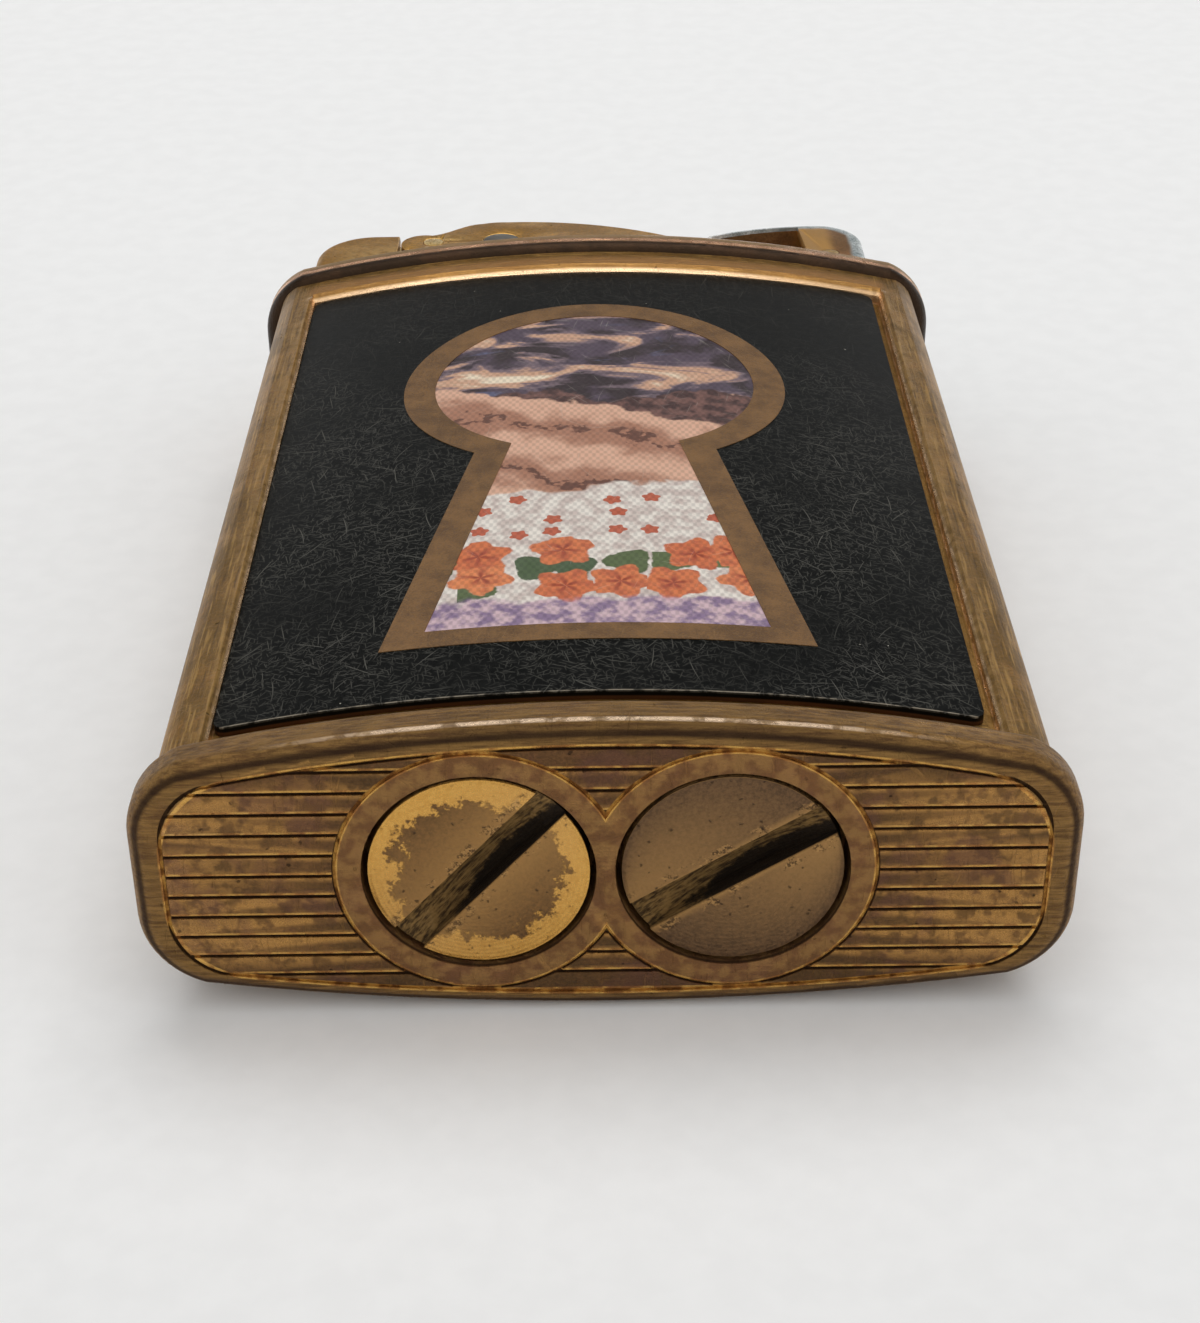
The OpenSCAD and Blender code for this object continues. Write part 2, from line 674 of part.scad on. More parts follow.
module flint_follower() color([0.7, 0.54, 0.28]) centred() {
  point_y(-screw_x, follower_low_y) cylinder(r = flint_r, h = follower_len);
  point_y(-screw_x, follower_low_y - spring_pip_len) cylinder(r = spring_pip_r, h = spring_pip_len + past);
}

// Points of one ring of the spring's wire, at the given share of its length
function coil_ring(t, sides, low, high) = [
  for (k = [0 : sides - 1])
    let (a = 360 * spring_turns * t, b = 360 * k / sides, rr = spring_r + spring_wire / 2 * cos(b))
      [rr * cos(a), rr * sin(a), low + (high - low) * t + spring_wire / 2 * sin(b)]
];

// Ends of the flint spring's wire, and the least gap between one turn and the next, measured on its points
spring_low = spring_low_y + spring_wire / 2 + run_gap;
spring_high = follower_low_y - spring_wire / 2 - run_gap;
spring_gap = min([
  for (i = [0 : 7]) for (j = [i + 5 : i + 11])
    let (a = coil_ring(i / 8 / spring_turns, 6, spring_low, spring_high))
      let (b = coil_ring(j / 8 / spring_turns, 6, spring_low, spring_high))
        for (p = a) for (q = b) norm(p - q)
]);
echo("least gap of the flint spring to itself, mm", spring_gap);

module flint_spring() color([0.5, 0.5, 0.52]) centred() {
  sides = 6;
  rings = 8 * spring_turns;
  points = [for (i = [0 : rings]) each coil_ring(i / rings, sides, spring_low, spring_high)];
  sheet = [
    for (i = [0 : rings - 1]) for (k = [0 : sides - 1])
      let (a = i * sides + k, b = i * sides + (k + 1) % sides) each [[a, b, b + sides], [a, b + sides, a + sides]]
  ];
  first = [for (k = [1 : sides - 2]) [0, k + 1, k]];
  last_ring = rings * sides;
  last = [for (k = [1 : sides - 2]) [last_ring, last_ring + k, last_ring + k + 1]];
  point_y(-screw_x, 0) polyhedron(points = points, faces = concat(sheet, first, last), convexity = 10);
}

// Fuel

module cotton_wadding() color([0.9, 0.88, 0.82]) centred() difference() {
  along_y(wadding_low_y, wadding_top_y - wadding_low_y) cavity(wadding_gap);
  point_y(-screw_x, 0) cylinder(r = flint_tube_r + wadding_gap, h = body_h);
  point_y(-wick_x, wadding_top_y - wick_buried - wadding_gap) cylinder(r = wick_r + wadding_gap, h = body_h);
  point_y(-wick_x, body_h - flange_h - plug_h - 2 * wadding_gap - past) cylinder(r = wick_tube_r + wadding_gap, h = body_h);
}

module wick() color([0.85, 0.82, 0.74]) centred()
  point_y(-wick_x, wadding_top_y - wick_buried) cylinder(r = wick_r, h = body_h + wick_top - wadding_top_y + wick_buried);

module wick_tube() color([0.68, 0.52, 0.26]) centred() {
  low = body_h - flange_h - plug_h;
  tube(-wick_x, low, body_h + wick_tube_top - low, wick_tube_r, wick_r + run_gap);
}

// Side plates

// Middles of the tabs along X
function tab_places() = [-axle_x - 3.2, thumb_x - thumb_swing_r - 1.8];

// Gentle rise from the top of the lobe to the guard round the wheel
function shoulder_curve(n) = [
  for (i = [0 : n])
    let (t = 1 - i / n, x = -lobe_x + 0.1 + (lobe_x - 0.1 - shoulder_x) * t, low = lobe_v + lobe_r - 0.1)
      [x, low + (shoulder_v - low) * (1 - cos(180 * t)) / 2]
];

module side_plate_outline() {
  difference() {
    intersection() {
      translate([-slope_x, plate_top - slope_r]) circle(slope_r, $fn = fn_wide);
      translate([-axle_x, 0]) square([axle_x + thumb_x - thumb_swing_r + 0.6, plate_top]);
    }
    translate([thumb_x, thumb_v]) circle(thumb_swing_r + swing_gap, $fn = fn_wide);
  }
  translate([-axle_x, axle_v]) circle(guard_r);
  translate([-axle_x - guard_r, 0]) square([2 * guard_r, axle_v]);
  translate([-lobe_x, lobe_v]) circle(lobe_r);
  translate([-lobe_x, 0]) square([lobe_x - axle_x, lobe_v]);
  polygon(concat([[-lobe_x + 0.1, lobe_v - 1], [-axle_x + 0.1, lobe_v - 1]], shoulder_curve(12)));
  for (x = tab_places()) translate([x - tab_w / 2, -tab_h]) square([tab_w, tab_h + past]);
}

module side_plate(side) on_deck() translate([0, 0, side * (frame_half - plate_t / 2) - plate_t / 2]) difference() {
  linear_extrude(plate_t) side_plate_outline();
  translate([-axle_x, axle_v, -past]) cylinder(r = axle_r + seat_gap, h = plate_t + 2 * past);
  translate([-rivet_x, rivet_v, -past]) cylinder(r = rivet_r + seat_gap, h = plate_t + 2 * past, $fn = 48);
}

module front_side_plate() color([0.6, 0.46, 0.22]) centred() side_plate(1);

module rear_side_plate() color([0.6, 0.46, 0.22]) centred() side_plate(-1);

module wheel_axle() color([0.45, 0.45, 0.45]) centred() on_deck()
  translate([-axle_x, axle_v, -frame_half]) cylinder(r = axle_r, h = 2 * frame_half);

// Short rivets, one through each side plate and ear, so that the middle stays free
module snuffer_rivets() color([0.72, 0.56, 0.3]) centred() on_deck() for (s = [-1, 1]) {
  length = frame_half - ear_in;
  translate([-rivet_x, rivet_v, s * (ear_in + length / 2) - length / 2]) cylinder(r = rivet_r, h = length, $fn = 48);
}

// Flint wheel

// Star shaped outline of a serrated wheel
function star(n, r_out, r_in) = [
  for (i = [0 : 2 * n - 1]) let (a = 180 * i / n, r = i % 2 == 0 ? r_out : r_in) [r * cos(a), r * sin(a)]
];

module flint_wheel() color([0.4, 0.4, 0.4]) centred() on_deck() translate([-axle_x, axle_v, -wheel_w / 2]) difference() {
  linear_extrude(wheel_w) polygon(star(wheel_teeth, wheel_r, wheel_r - wheel_tooth));
  translate([0, 0, -past]) cylinder(r = axle_r + run_gap, h = wheel_w + 2 * past);
}

// Saw teeth whose steep faces look up on the right side
function saw(n, r_out, r_in) = [
  for (i = [0 : n - 1]) let (a = 360 * i / n - ratchet_turn) each [[r_out * cos(a), r_out * sin(a)], [r_in * cos(a), r_in * sin(a)]]
];

module ratchet() color([0.5, 0.5, 0.5]) centred() on_deck() translate([-axle_x, axle_v, ratchet_z]) difference() {
  linear_extrude(ratchet_w) polygon(saw(ratchet_teeth, ratchet_r, ratchet_r - ratchet_tooth));
  translate([0, 0, -past]) cylinder(r = axle_r + run_gap, h = ratchet_w + 2 * past);
}

// Drive lever: two arms on the wheel axle, a finger to the left and a cross bar to the right

module drive_outline() {
  axle = [-axle_x, axle_v];
  link(axle, 1.6, [bar_x + bar_w / 2, bar_v - drive_t], 0.55);
  link(axle - [0, 0.3], 1.1, [-elbow_x, elbow_v], 0.5);
  link([-elbow_x, elbow_v], 0.5, [-nose_x, nose_v], nose_r);
  link(axle, 1.5, [pawl_x, pawl_v], 0.75);
}

module drive_lever() color([0.55, 0.5, 0.42]) centred() on_deck() difference() {
  union() {
    for (s = [-1, 1]) translate([0, 0, s * (drive_half - drive_t / 2) - drive_t / 2]) linear_extrude(drive_t)
      intersection() {
        drive_outline();
        translate([-body_w / 2, bar_v - body_w]) square([body_w / 2 + bar_x, 2 * body_w]);
      }
    translate([bar_x - 0.3, bar_v - drive_t, -drive_half]) cube([bar_w + 0.3, drive_t, 2 * drive_half]);
  }
  translate([-axle_x, axle_v, -frame_half]) cylinder(r = axle_r + run_gap, h = 2 * frame_half);
  translate([pawl_x, pawl_v, -frame_half]) cylinder(r = pawl_pin_r + seat_gap, h = 2 * frame_half, $fn = 32);
}

module pawl_pin() color([0.5, 0.5, 0.5]) centred() on_deck()
  translate([pawl_x, pawl_v, -drive_half]) cylinder(r = pawl_pin_r, h = 2 * drive_half, $fn = 32);

// The pawl's tip rests just above the steep face of a ratchet tooth
module pawl() color([0.5, 0.48, 0.44]) centred() on_deck() translate([0, 0, pawl_z]) difference() {
  linear_extrude(pawl_t) {
    translate([pawl_x, pawl_v]) circle(0.75, $fn = 48);
    translate([-axle_x, axle_v]) polygon([
      [ratchet_r - 0.26, 0.02], [ratchet_r + 0.4, 0.02], [pawl_dx + 0.6, pawl_dv - 0.45], [pawl_dx - 0.6, pawl_dv + 0.45],
      [ratchet_r + 0.1, 0.6]
    ]);
  }
  translate([pawl_x, pawl_v, -past]) cylinder(r = pawl_pin_r + run_gap, h = pawl_t + 2 * past, $fn = 32);
}

// Bent leaf from the cross bar to the back of the pawl
module pawl_spring() color([0.6, 0.6, 0.6]) centred() on_deck() {
  leaf = 0.15;
  z = press_half + side_gap;
  translate([bar_x, bar_v, z]) cube([bar_w, leaf, drive_in - z]);
  translate([0, 0, z]) linear_extrude(0.35) polygon([
    [bar_x, bar_v], [bar_x + 0.2, bar_v + leaf],
    [pawl_x + pawl_back, pawl_v - 0.4], [pawl_x + pawl_back - leaf, pawl_v - 0.4]
  ]);
}

// How far the return spring's foot lies beyond the cross bar, its length, and the back of the pawl
leaf_lean = 1.4;
leaf_foot = 2.2;
pawl_back = 0.85;

// Leaf under the cross bar that brings the lever back
module return_spring() color([0.6, 0.6, 0.6]) centred() on_deck() {
  leaf = 0.2;
  half = 1.2;
  foot_x = bar_x + bar_w + leaf_lean;
  tip_v = bar_v - drive_t - run_gap;
  translate([foot_x, 0, -half]) cube([leaf_foot, leaf, 2 * half]);
  translate([0, 0, -half]) linear_extrude(2 * half) polygon([
    [foot_x, 0], [foot_x + 0.25, leaf], [bar_x + bar_w / 2 + 0.2, tip_v], [bar_x + bar_w / 2, tip_v]
  ]);
}

// Snuffer

// Half section with its outer corners rounded, for edges that are seen
module edge_section(r, half, e) {
  translate([0, -half]) square([r - e, 2 * half]);
  translate([0, e - half]) square([r, 2 * (half - e)]);
  for (s = [-1, 1]) translate([r - e, s * (half - e)]) circle(e, $fn = 32);
}

// Solid form of the snuffer cap, drawn smaller by its wall for the hollow
module cap_form(inset) {
  half = frame_half - inset;
  e = cap_edge_r - inset;
  top = cap_top - inset;
  shoulder_x = -cap_left + cap_shoulder_r;
  shoulder_v = cap_top - cap_shoulder_r;
  right = -cap_right + 2 * inset;
  translate([shoulder_x, cap_foot - 2 * inset, 0]) rotate([90, 0, 90]) linear_extrude(right - shoulder_x)
    edge_section(top - cap_foot + 2 * inset, half, e);
  translate([shoulder_x, shoulder_v, 0]) rotate([0, 0, 90]) rotate_extrude(angle = 90)
    edge_section(cap_shoulder_r - inset, half, e);
  translate([shoulder_x, shoulder_v, 0]) rotate([90, 0, 0]) linear_extrude(shoulder_v - cap_foot + 2 * inset)
    mirror([1, 0, 0]) edge_section(cap_shoulder_r - inset, half, e);
}

module snuffer_cap() color([0.6, 0.44, 0.2]) centred() on_deck() difference() {
  cap_form(0);
  cap_form(cap_wall);
}

// Two ears round the rivets, as high as the cap, and a strip under the cap's top
module snuffer_arm() color([0.66, 0.5, 0.24]) centred() on_deck() {
  left = -cap_left + cap_shoulder_r;
  right = -nose_x + 0.3;
  step = -cap_right + run_gap;
  under = cap_top - cap_wall;
  corner = cap_edge_r - cap_wall;
  low = rivet_v - ear_low;
  strip_half = plate_in - corner;
  for (s = [0, 1]) mirror([0, 0, s]) difference() {
    union() {
      translate([0, 0, ear_in]) linear_extrude(ear_out - ear_in) {
        translate([-rivet_x, rivet_v]) circle(cap_top - rivet_v, $fn = 64);
        translate([step, low]) square([-rivet_x - step, cap_top - low]);
        translate([left, low]) square([step - left, under - 0.05 - low]);
      }
      translate([left, low, ear_in]) cube([-cap_right - 0.55 - left, under - corner - low, plate_in - ear_in]);
    }
    translate([-rivet_x, rivet_v, 0]) cylinder(r = rivet_r + run_gap, h = frame_half, $fn = 48);
  }
  translate([left, pad_v, -strip_half]) cube([step - left, under - pad_v, 2 * strip_half]);
  translate([step, pad_v, -ear_out]) cube([right - step, cap_top - pad_v, 2 * ear_out]);
}

module snuffer_pad() color([0.8, 0.75, 0.62]) centred() on_deck()
  translate([-wick_x, pad_v, 0]) rotate([90, 0, 0]) cylinder(r = pad_r, h = pad_v - wick_top - run_gap);

// Thumb lever

// Solid form of the thumb lever's right end, drawn smaller by its wall for the hollow
module thumb_form(inset) {
  half = frame_half - inset;
  e = thumb_edge_r - inset;
  low = skirt_foot - 2 * inset;
  // e shrinks to a sharp inner corner when the wall is thicker than the outer rounding
  er = max(e, 0.01);
  turn = asin((thumb_crown_x - skirt_x + 2 * inset) / (thumb_arc_r - inset));
  intersection() {
    translate([thumb_crown_x, thumb_arc_v, 0]) rotate([0, 0, 90]) rotate_extrude(angle = turn, $fn = fn_wide)
      edge_section(thumb_arc_r - inset, half, er);
    translate([skirt_x - 2 * inset, low, -frame_half]) cube([body_w, body_w, 2 * frame_half]);
  }
  translate([thumb_crown_x, end_v, 0]) rotate_extrude(angle = 90) edge_section(thumb_end_r - inset, half, er);
  translate([thumb_crown_x, end_v, 0]) rotate([90, 0, 0]) linear_extrude(end_v - low)
    edge_section(thumb_end_r - inset, half, er);
}

module thumb_lever() color([0.6, 0.45, 0.22]) centred() on_deck() difference() {
  union() {
    difference() {
      thumb_form(0);
      thumb_form(thumb_wall);
    }
    translate([thumb_crown_x, thumb_arc_v, 0]) rotate([0, 0, 90]) rotate_extrude(angle = thumb_arc, $fn = fn_wide) difference() {
      edge_section(thumb_arc_r, frame_half, thumb_edge_r);
      translate([0, -frame_half - past]) square([thumb_arc_r - thumb_wall, 2 * frame_half + 2 * past]);
    }
    translate([thumb_x + tip_dx, thumb_v + tip_dv, -frame_half + thumb_edge_r])
      cylinder(r = thumb_wall / 2, h = 2 * (frame_half - thumb_edge_r), $fn = 32);
  }
  translate([thumb_x, thumb_v, -frame_half - past]) cylinder(r = thumb_pin_r + run_gap, h = 2 * (frame_half + past), $fn = 48);
}

// Point on the thumb lever's long curve, at a radius and an angle from the crown
function on_curve(r, a) = [thumb_crown_x - r * sin(a), thumb_arc_v + r * cos(a)];

// Strip under the thumb lever that pushes the drive lever's cross bar
module press_arm() color([0.5, 0.5, 0.5]) centred() on_deck() {
  r_out = thumb_arc_r - thumb_wall;
  r_in = r_out - press_t;
  bend = thumb_arc - 8;
  half_t = press_t / 2;
  nose = [bar_x + bar_w / 2, bar_v + press_gap + half_t];
  knee_x = on_curve(r_out, bend)[0] - 0.9;
  translate([thumb_crown_x, thumb_arc_v, 0]) rotate([0, 0, 93]) rotate_extrude(angle = bend - 3, $fn = fn_wide)
    translate([r_in, -press_half]) square([press_t, 2 * press_half]);
  translate([0, 0, -press_half]) linear_extrude(2 * press_half) {
    polygon([
      on_curve(r_out - 0.02, bend - 1), on_curve(r_out - 0.02, bend), [knee_x - 0.12, nose[1] + half_t],
      nose + [0, half_t], nose - [0, half_t],
      [knee_x + 0.12, nose[1] - half_t], on_curve(r_in + 0.02, bend), on_curve(r_in + 0.02, bend - 1)
    ]);
    translate(nose) circle(half_t, $fn = 32);
  }
}

module lever_pin() color([0.66, 0.5, 0.26]) centred() on_deck()
  translate([thumb_x, thumb_v, -frame_half]) cylinder(r = thumb_pin_r, h = 2 * frame_half, $fn = 48);

// Bracket on the deck whose ears carry the thumb lever's pin
bracket_half = 3.5;
bracket_t = 0.5;
bracket_ear_r = 1.1;
bracket_rivet_r = 0.5;
bracket_rivet_dx = 1.2;
bracket_left = 2;
bracket_len = 3.2;

module lever_bracket() color([0.6, 0.46, 0.24]) centred() on_deck() difference() {
  union() {
    translate([thumb_x - bracket_left, 0, -bracket_half]) cube([bracket_len, bracket_t, 2 * bracket_half]);
    for (s = [-1, 1]) translate([0, 0, s * (bracket_half - bracket_t / 2) - bracket_t / 2]) linear_extrude(bracket_t) {
      translate([thumb_x, thumb_v]) circle(bracket_ear_r, $fn = 48);
      translate([thumb_x - bracket_ear_r, 0]) square([2 * bracket_ear_r, thumb_v]);
    }
  }
  translate([thumb_x, thumb_v, -frame_half]) cylinder(r = thumb_pin_r + seat_gap, h = 2 * frame_half, $fn = 48);
  translate([thumb_x - bracket_rivet_dx, -past, 0]) rotate([-90, 0, 0])
    cylinder(r = bracket_rivet_r + seat_gap, h = 2 * past + bracket_t, $fn = 24);
}

module bracket_rivet() color([0.68, 0.52, 0.28]) centred() on_deck()
  translate([thumb_x - bracket_rivet_dx, 0, 0]) rotate([-90, 0, 0]) {
  translate([0, 0, -1.3]) cylinder(r = bracket_rivet_r, h = 1.3 + bracket_t + 0.1, $fn = 24);
  translate([0, 0, bracket_t]) cylinder(r1 = 0.85, r2 = 0.55, h = 0.35, $fn = 24);
}

case_shell();
base_plate();
top_plate();
front_panel();
keyhole_border();
keyhole_picture();
flint_bush();
filler_bush();
flint_tube();
wick_tube();
cotton_wadding();
wick();
fuel_screw();
fuel_washer();
flint_screw();
flint_washer();
flint_spring();
flint_follower();
flint();
front_side_plate();
rear_side_plate();
wheel_axle();
flint_wheel();
ratchet();
drive_lever();
pawl();
pawl_pin();
pawl_spring();
return_spring();
snuffer_cap();
snuffer_arm();
snuffer_pad();
snuffer_rivets();
thumb_lever();
press_arm();
lever_pin();
lever_bracket();
bracket_rivet();
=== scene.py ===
# %% [markdown]
# # A worn brass pocket lighter
# This lesson dresses a lighter that was built in CAD. The CAD solids already have the right shapes and
# joints, so Blender gives them what CAD can't: soft edges, tarnish, scratches, a printed picture and light.
# Every length here is in millimetres and is turned into Blender's metres by one helper.

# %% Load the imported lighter
import json
import math

import bmesh
import bpy
from mathutils import Matrix, Vector


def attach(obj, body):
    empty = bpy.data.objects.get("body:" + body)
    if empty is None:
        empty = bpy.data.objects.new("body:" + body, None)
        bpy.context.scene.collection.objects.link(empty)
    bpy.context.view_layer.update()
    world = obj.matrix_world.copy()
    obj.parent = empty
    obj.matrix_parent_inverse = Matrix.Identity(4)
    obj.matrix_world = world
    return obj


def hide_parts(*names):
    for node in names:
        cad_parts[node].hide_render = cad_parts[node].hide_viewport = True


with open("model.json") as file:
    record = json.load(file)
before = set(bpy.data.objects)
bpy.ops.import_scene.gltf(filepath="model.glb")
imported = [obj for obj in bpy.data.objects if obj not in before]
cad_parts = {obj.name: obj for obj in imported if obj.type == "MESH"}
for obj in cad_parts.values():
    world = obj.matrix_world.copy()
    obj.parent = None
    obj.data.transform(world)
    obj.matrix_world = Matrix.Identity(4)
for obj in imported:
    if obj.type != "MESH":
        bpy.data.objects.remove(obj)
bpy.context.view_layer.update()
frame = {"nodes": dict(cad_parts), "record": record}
NODES = frame["nodes"]
RECORD = frame["record"]
BODY_OF = {node: body for body, members in RECORD["behaviour"]["bodies"].items() for node in members}

# %% [markdown]
# ## Where things are
# The lighter lies on its back. X runs across it, Y from its base to its mechanism, and Z out of its
# enamelled front. The origin is under the middle. These sizes repeat the CAD's own named values, so that a
# pattern lands on the right spot of a piece.

# %% Sizes shared with the CAD
MM = 0.001
LENGTH = 56.2
BODY_HEIGHT = 48.9
HALF_WIDTH, HALF_THICK = 18.0, 6.6
FLANGE_FACE = 0.3
SHELL_HALF_T = HALF_THICK - FLANGE_FACE
BASE_Y = -LENGTH / 2
DECK_Y = BASE_Y + BODY_HEIGHT
# the flanges' curves in front and behind, and the shell's, which lies a little farther in
FRONT_R, BACK_R = 72.0, 105.0
FACE_R = FRONT_R - FLANGE_FACE
# screws and the engraved lines of the base
SCREW_X, HEAD_DROP = 4.8, 0.15
RING_R, RULE_PITCH = 5.55, 0.94
MARGIN, MARGIN_END, MARGIN_CORNER = 0.85, 1.25, 2.8
# the panel let into the front
PANEL_FOOT_Y, PANEL_HEAD_Y, PANEL_HALF_W = BASE_Y + 3.4, DECK_Y - 4.2, 14.7
PANEL_DROP = 0.3
# the thumb lever's side view: a long curve up to its crown, then a round end
CROWN_X, CROWN_UP = 12.4, 6.5
LONG_R, END_R, LEVER_HALF = 14.0, 2.5, 4.5


def mm(*values):
    """A point or a length given in millimetres, in Blender's metres."""
    return values[0] * MM if len(values) == 1 else Vector(values) * MM


def srgb(r, g, b):
    """A colour as a paint program shows it, 0 to 255, as the linear colour that shaders use."""
    def linear(c):
        c /= 255
        return c / 12.92 if c <= 0.04045 else ((c + 0.055) / 1.055) ** 2.4
    return (linear(r), linear(g), linear(b), 1.0)


print("deck at y =", round(DECK_Y, 2), "mm")

# %% [markdown]
# ## Camera
# The photograph looks down at the base from the front, about 31 degrees above the table. The place, the lens
# and the small roll were solved from the outlines of the lighter in the photograph, so they are set as a
# matrix from the direction of view, not by eye.

# %% Camera at the photograph's angle
CAMERA_AT = mm(-0.2995, -99.402, 59.551)
ELEVATION, YAW, ROLL = math.radians(31.446), math.radians(0.128), math.radians(-0.617)
SENSOR, FOCAL_PIXELS, LONG_SIDE = 36.0, 2346.02, 1323

look = Vector((
    math.sin(YAW) * math.cos(ELEVATION), math.cos(YAW) * math.cos(ELEVATION), -math.sin(ELEVATION)))
level = look.cross(Vector((0, 0, 1))).normalized()
upward = level.cross(look)
right = math.cos(ROLL) * level + math.sin(ROLL) * upward
up = math.cos(ROLL) * upward - math.sin(ROLL) * level

camera = bpy.data.objects.new("Camera", bpy.data.cameras.new("Camera"))
bpy.context.scene.collection.objects.link(camera)
camera.data.sensor_width = SENSOR
camera.data.sensor_fit = "AUTO"
camera.data.lens = FOCAL_PIXELS * SENSOR / LONG_SIDE
camera.data.clip_start = mm(1)
camera.matrix_world = Matrix((
    (right.x, up.x, -look.x, CAMERA_AT.x),
    (right.y, up.y, -look.y, CAMERA_AT.y),
    (right.z, up.z, -look.z, CAMERA_AT.z),
    (0, 0, 0, 1),
))
bpy.context.scene.camera = camera
print("lens", round(camera.data.lens, 2), "mm")

# %% [markdown]
# ## Nodes by the line
# A procedural material is a small program of nodes. One helper adds a node, sets its options and fills its
# inputs in one call: an input takes either a plain value or another node's output socket. The other helpers
# are short names for the nodes that come back all the time.

# %% Node helpers
def connect(tree, socket, value):
    """Links another socket to an input, or sets the input to a plain value."""
    if isinstance(value, bpy.types.NodeSocket):
        tree.links.new(value, socket)
    else:
        socket.default_value = value


def add(tree, kind, inputs=None, **options):
    """One new node. Keys of inputs are socket names or numbers; values are sockets or constants."""
    made = tree.nodes.new(kind)
    for name, value in options.items():
        setattr(made, name, value)
    for key, value in (inputs or {}).items():
        connect(tree, made.inputs[key], value)
    return made


def maths(tree, operation, a, b=0.0, clamp=False):
    """The result socket of one Math node."""
    return add(tree, "ShaderNodeMath", {0: a, 1: b}, operation=operation, use_clamp=clamp).outputs[0]


def joiner(operation):
    """A helper that joins two or more values by one kind of Math node."""
    def join(tree, first, *others, clamp=False):
        for other in others:
            first = maths(tree, operation, first, other, clamp)
        return first
    return join


times, plus, minus, highest = joiner("MULTIPLY"), joiner("ADD"), joiner("SUBTRACT"), joiner("MAXIMUM")


def length_2d(tree, a, b):
    """The distance of a point from the origin of a plane."""
    return maths(tree, "SQRT", plus(tree, times(tree, a, a), times(tree, b, b)))


def ramp(tree, value, low, high, to_low=0.0, to_high=1.0):
    """value, carried smoothly from low..high to to_low..to_high."""
    return add(tree, "ShaderNodeMapRange", {
        "Value": value, "From Min": low, "From Max": high, "To Min": to_low, "To Max": to_high,
    }, interpolation_type="SMOOTHSTEP").outputs["Result"]


def band(tree, value, centre, half, soft_edge):
    """A mask that is 1 within half of centre, with soft edges."""
    off = maths(tree, "ABSOLUTE", minus(tree, value, centre))
    return ramp(tree, off, half - soft_edge, half + soft_edge, 1.0, 0.0)


def vector(tree, operation, a, b):
    """The result of one Vector Math node."""
    return add(tree, "ShaderNodeVectorMath", {0: a, 1: b}, operation=operation).outputs[0]


def scaled(tree, place, by):
    return add(tree, "ShaderNodeVectorMath", {0: place, 3: by}, operation="SCALE").outputs[0]


def turned(tree, place, angle, axis="Z_AXIS"):
    return add(
        tree, "ShaderNodeVectorRotate", {"Vector": place, "Angle": angle}, rotation_type=axis).outputs[0]


def split(tree, place):
    """The X, Y and Z of a vector."""
    return add(tree, "ShaderNodeSeparateXYZ", {0: place}).outputs


def noise(tree, place, scale, detail, roughness=0.5, **more):
    """The value of a Noise Texture."""
    return add(tree, "ShaderNodeTexNoise", {
        "Vector": place, "Scale": scale, "Detail": detail, "Roughness": roughness, **more}).outputs["Fac"]


def noise_colour(tree, place, scale, detail):
    """The colour of a Noise Texture: three noises at once, to push a place about."""
    return add(tree, "ShaderNodeTexNoise", {"Vector": place, "Scale": scale, "Detail": detail}).outputs["Color"]


print("node helpers ready")

# %% Colour and material helpers
def blend(tree, factor, a, b, mode="MIX"):
    """The colour socket of a Mix node."""
    made = add(tree, "ShaderNodeMix", {"Factor": factor}, data_type="RGBA", blend_type=mode)
    connect(tree, made.inputs[6], a)
    connect(tree, made.inputs[7], b)
    return made.outputs[2]


def between(tree, value, low, high, first, second):
    """The first colour where value is low, the second where it is high."""
    return blend(tree, ramp(tree, value, low, high), first, second)


def paint(tree, colour, *layers):
    """A colour with others painted over it in turn: each layer is a mask, a colour and maybe a strength."""
    for mask, over, *strength in layers:
        colour = blend(tree, times(tree, mask, *strength), colour, over)
    return colour


def shaded(tree, colour, shade):
    """A colour made darker or lighter by a factor."""
    grey = add(tree, "ShaderNodeCombineColor", {0: shade, 1: shade, 2: shade}).outputs[0]
    return blend(tree, 1.0, colour, grey, "MULTIPLY")


def new_group(name, outs, **ins):
    """A shader node group that takes a Vector and the named values, and its input and output nodes."""
    tree = bpy.data.node_groups.new(name, "ShaderNodeTree")
    tree.interface.new_socket("Vector", in_out="INPUT", socket_type="NodeSocketVector")
    for socket, value in ins.items():
        kind = "NodeSocketColor" if isinstance(value, tuple) else "NodeSocketFloat"
        tree.interface.new_socket(socket, in_out="INPUT", socket_type=kind).default_value = value
    for socket in outs:
        kind = "NodeSocketColor" if socket == "Color" else "NodeSocketFloat"
        tree.interface.new_socket(socket, in_out="OUTPUT", socket_type=kind)
    return tree, add(tree, "NodeGroupInput").outputs, add(tree, "NodeGroupOutput").inputs


def use_group(tree, group, **inputs):
    """The outputs of a group placed in a material."""
    return add(tree, "ShaderNodeGroup", inputs, node_tree=group).outputs


def material(name):
    """A new material: its node tree, its Principled BSDF, and Object coordinates in millimetres."""
    made = bpy.data.materials.new(name)
    made.use_nodes = True
    tree = made.node_tree
    place = scaled(tree, add(tree, "ShaderNodeTexCoord").outputs["Object"], 1 / MM)
    return made, tree, tree.nodes["Principled BSDF"], place


def edge_wear(tree):
    """The attribute named wear, which is 1 on the rounded edges of a finished piece."""
    return add(tree, "ShaderNodeAttribute", attribute_name="wear").outputs["Fac"]


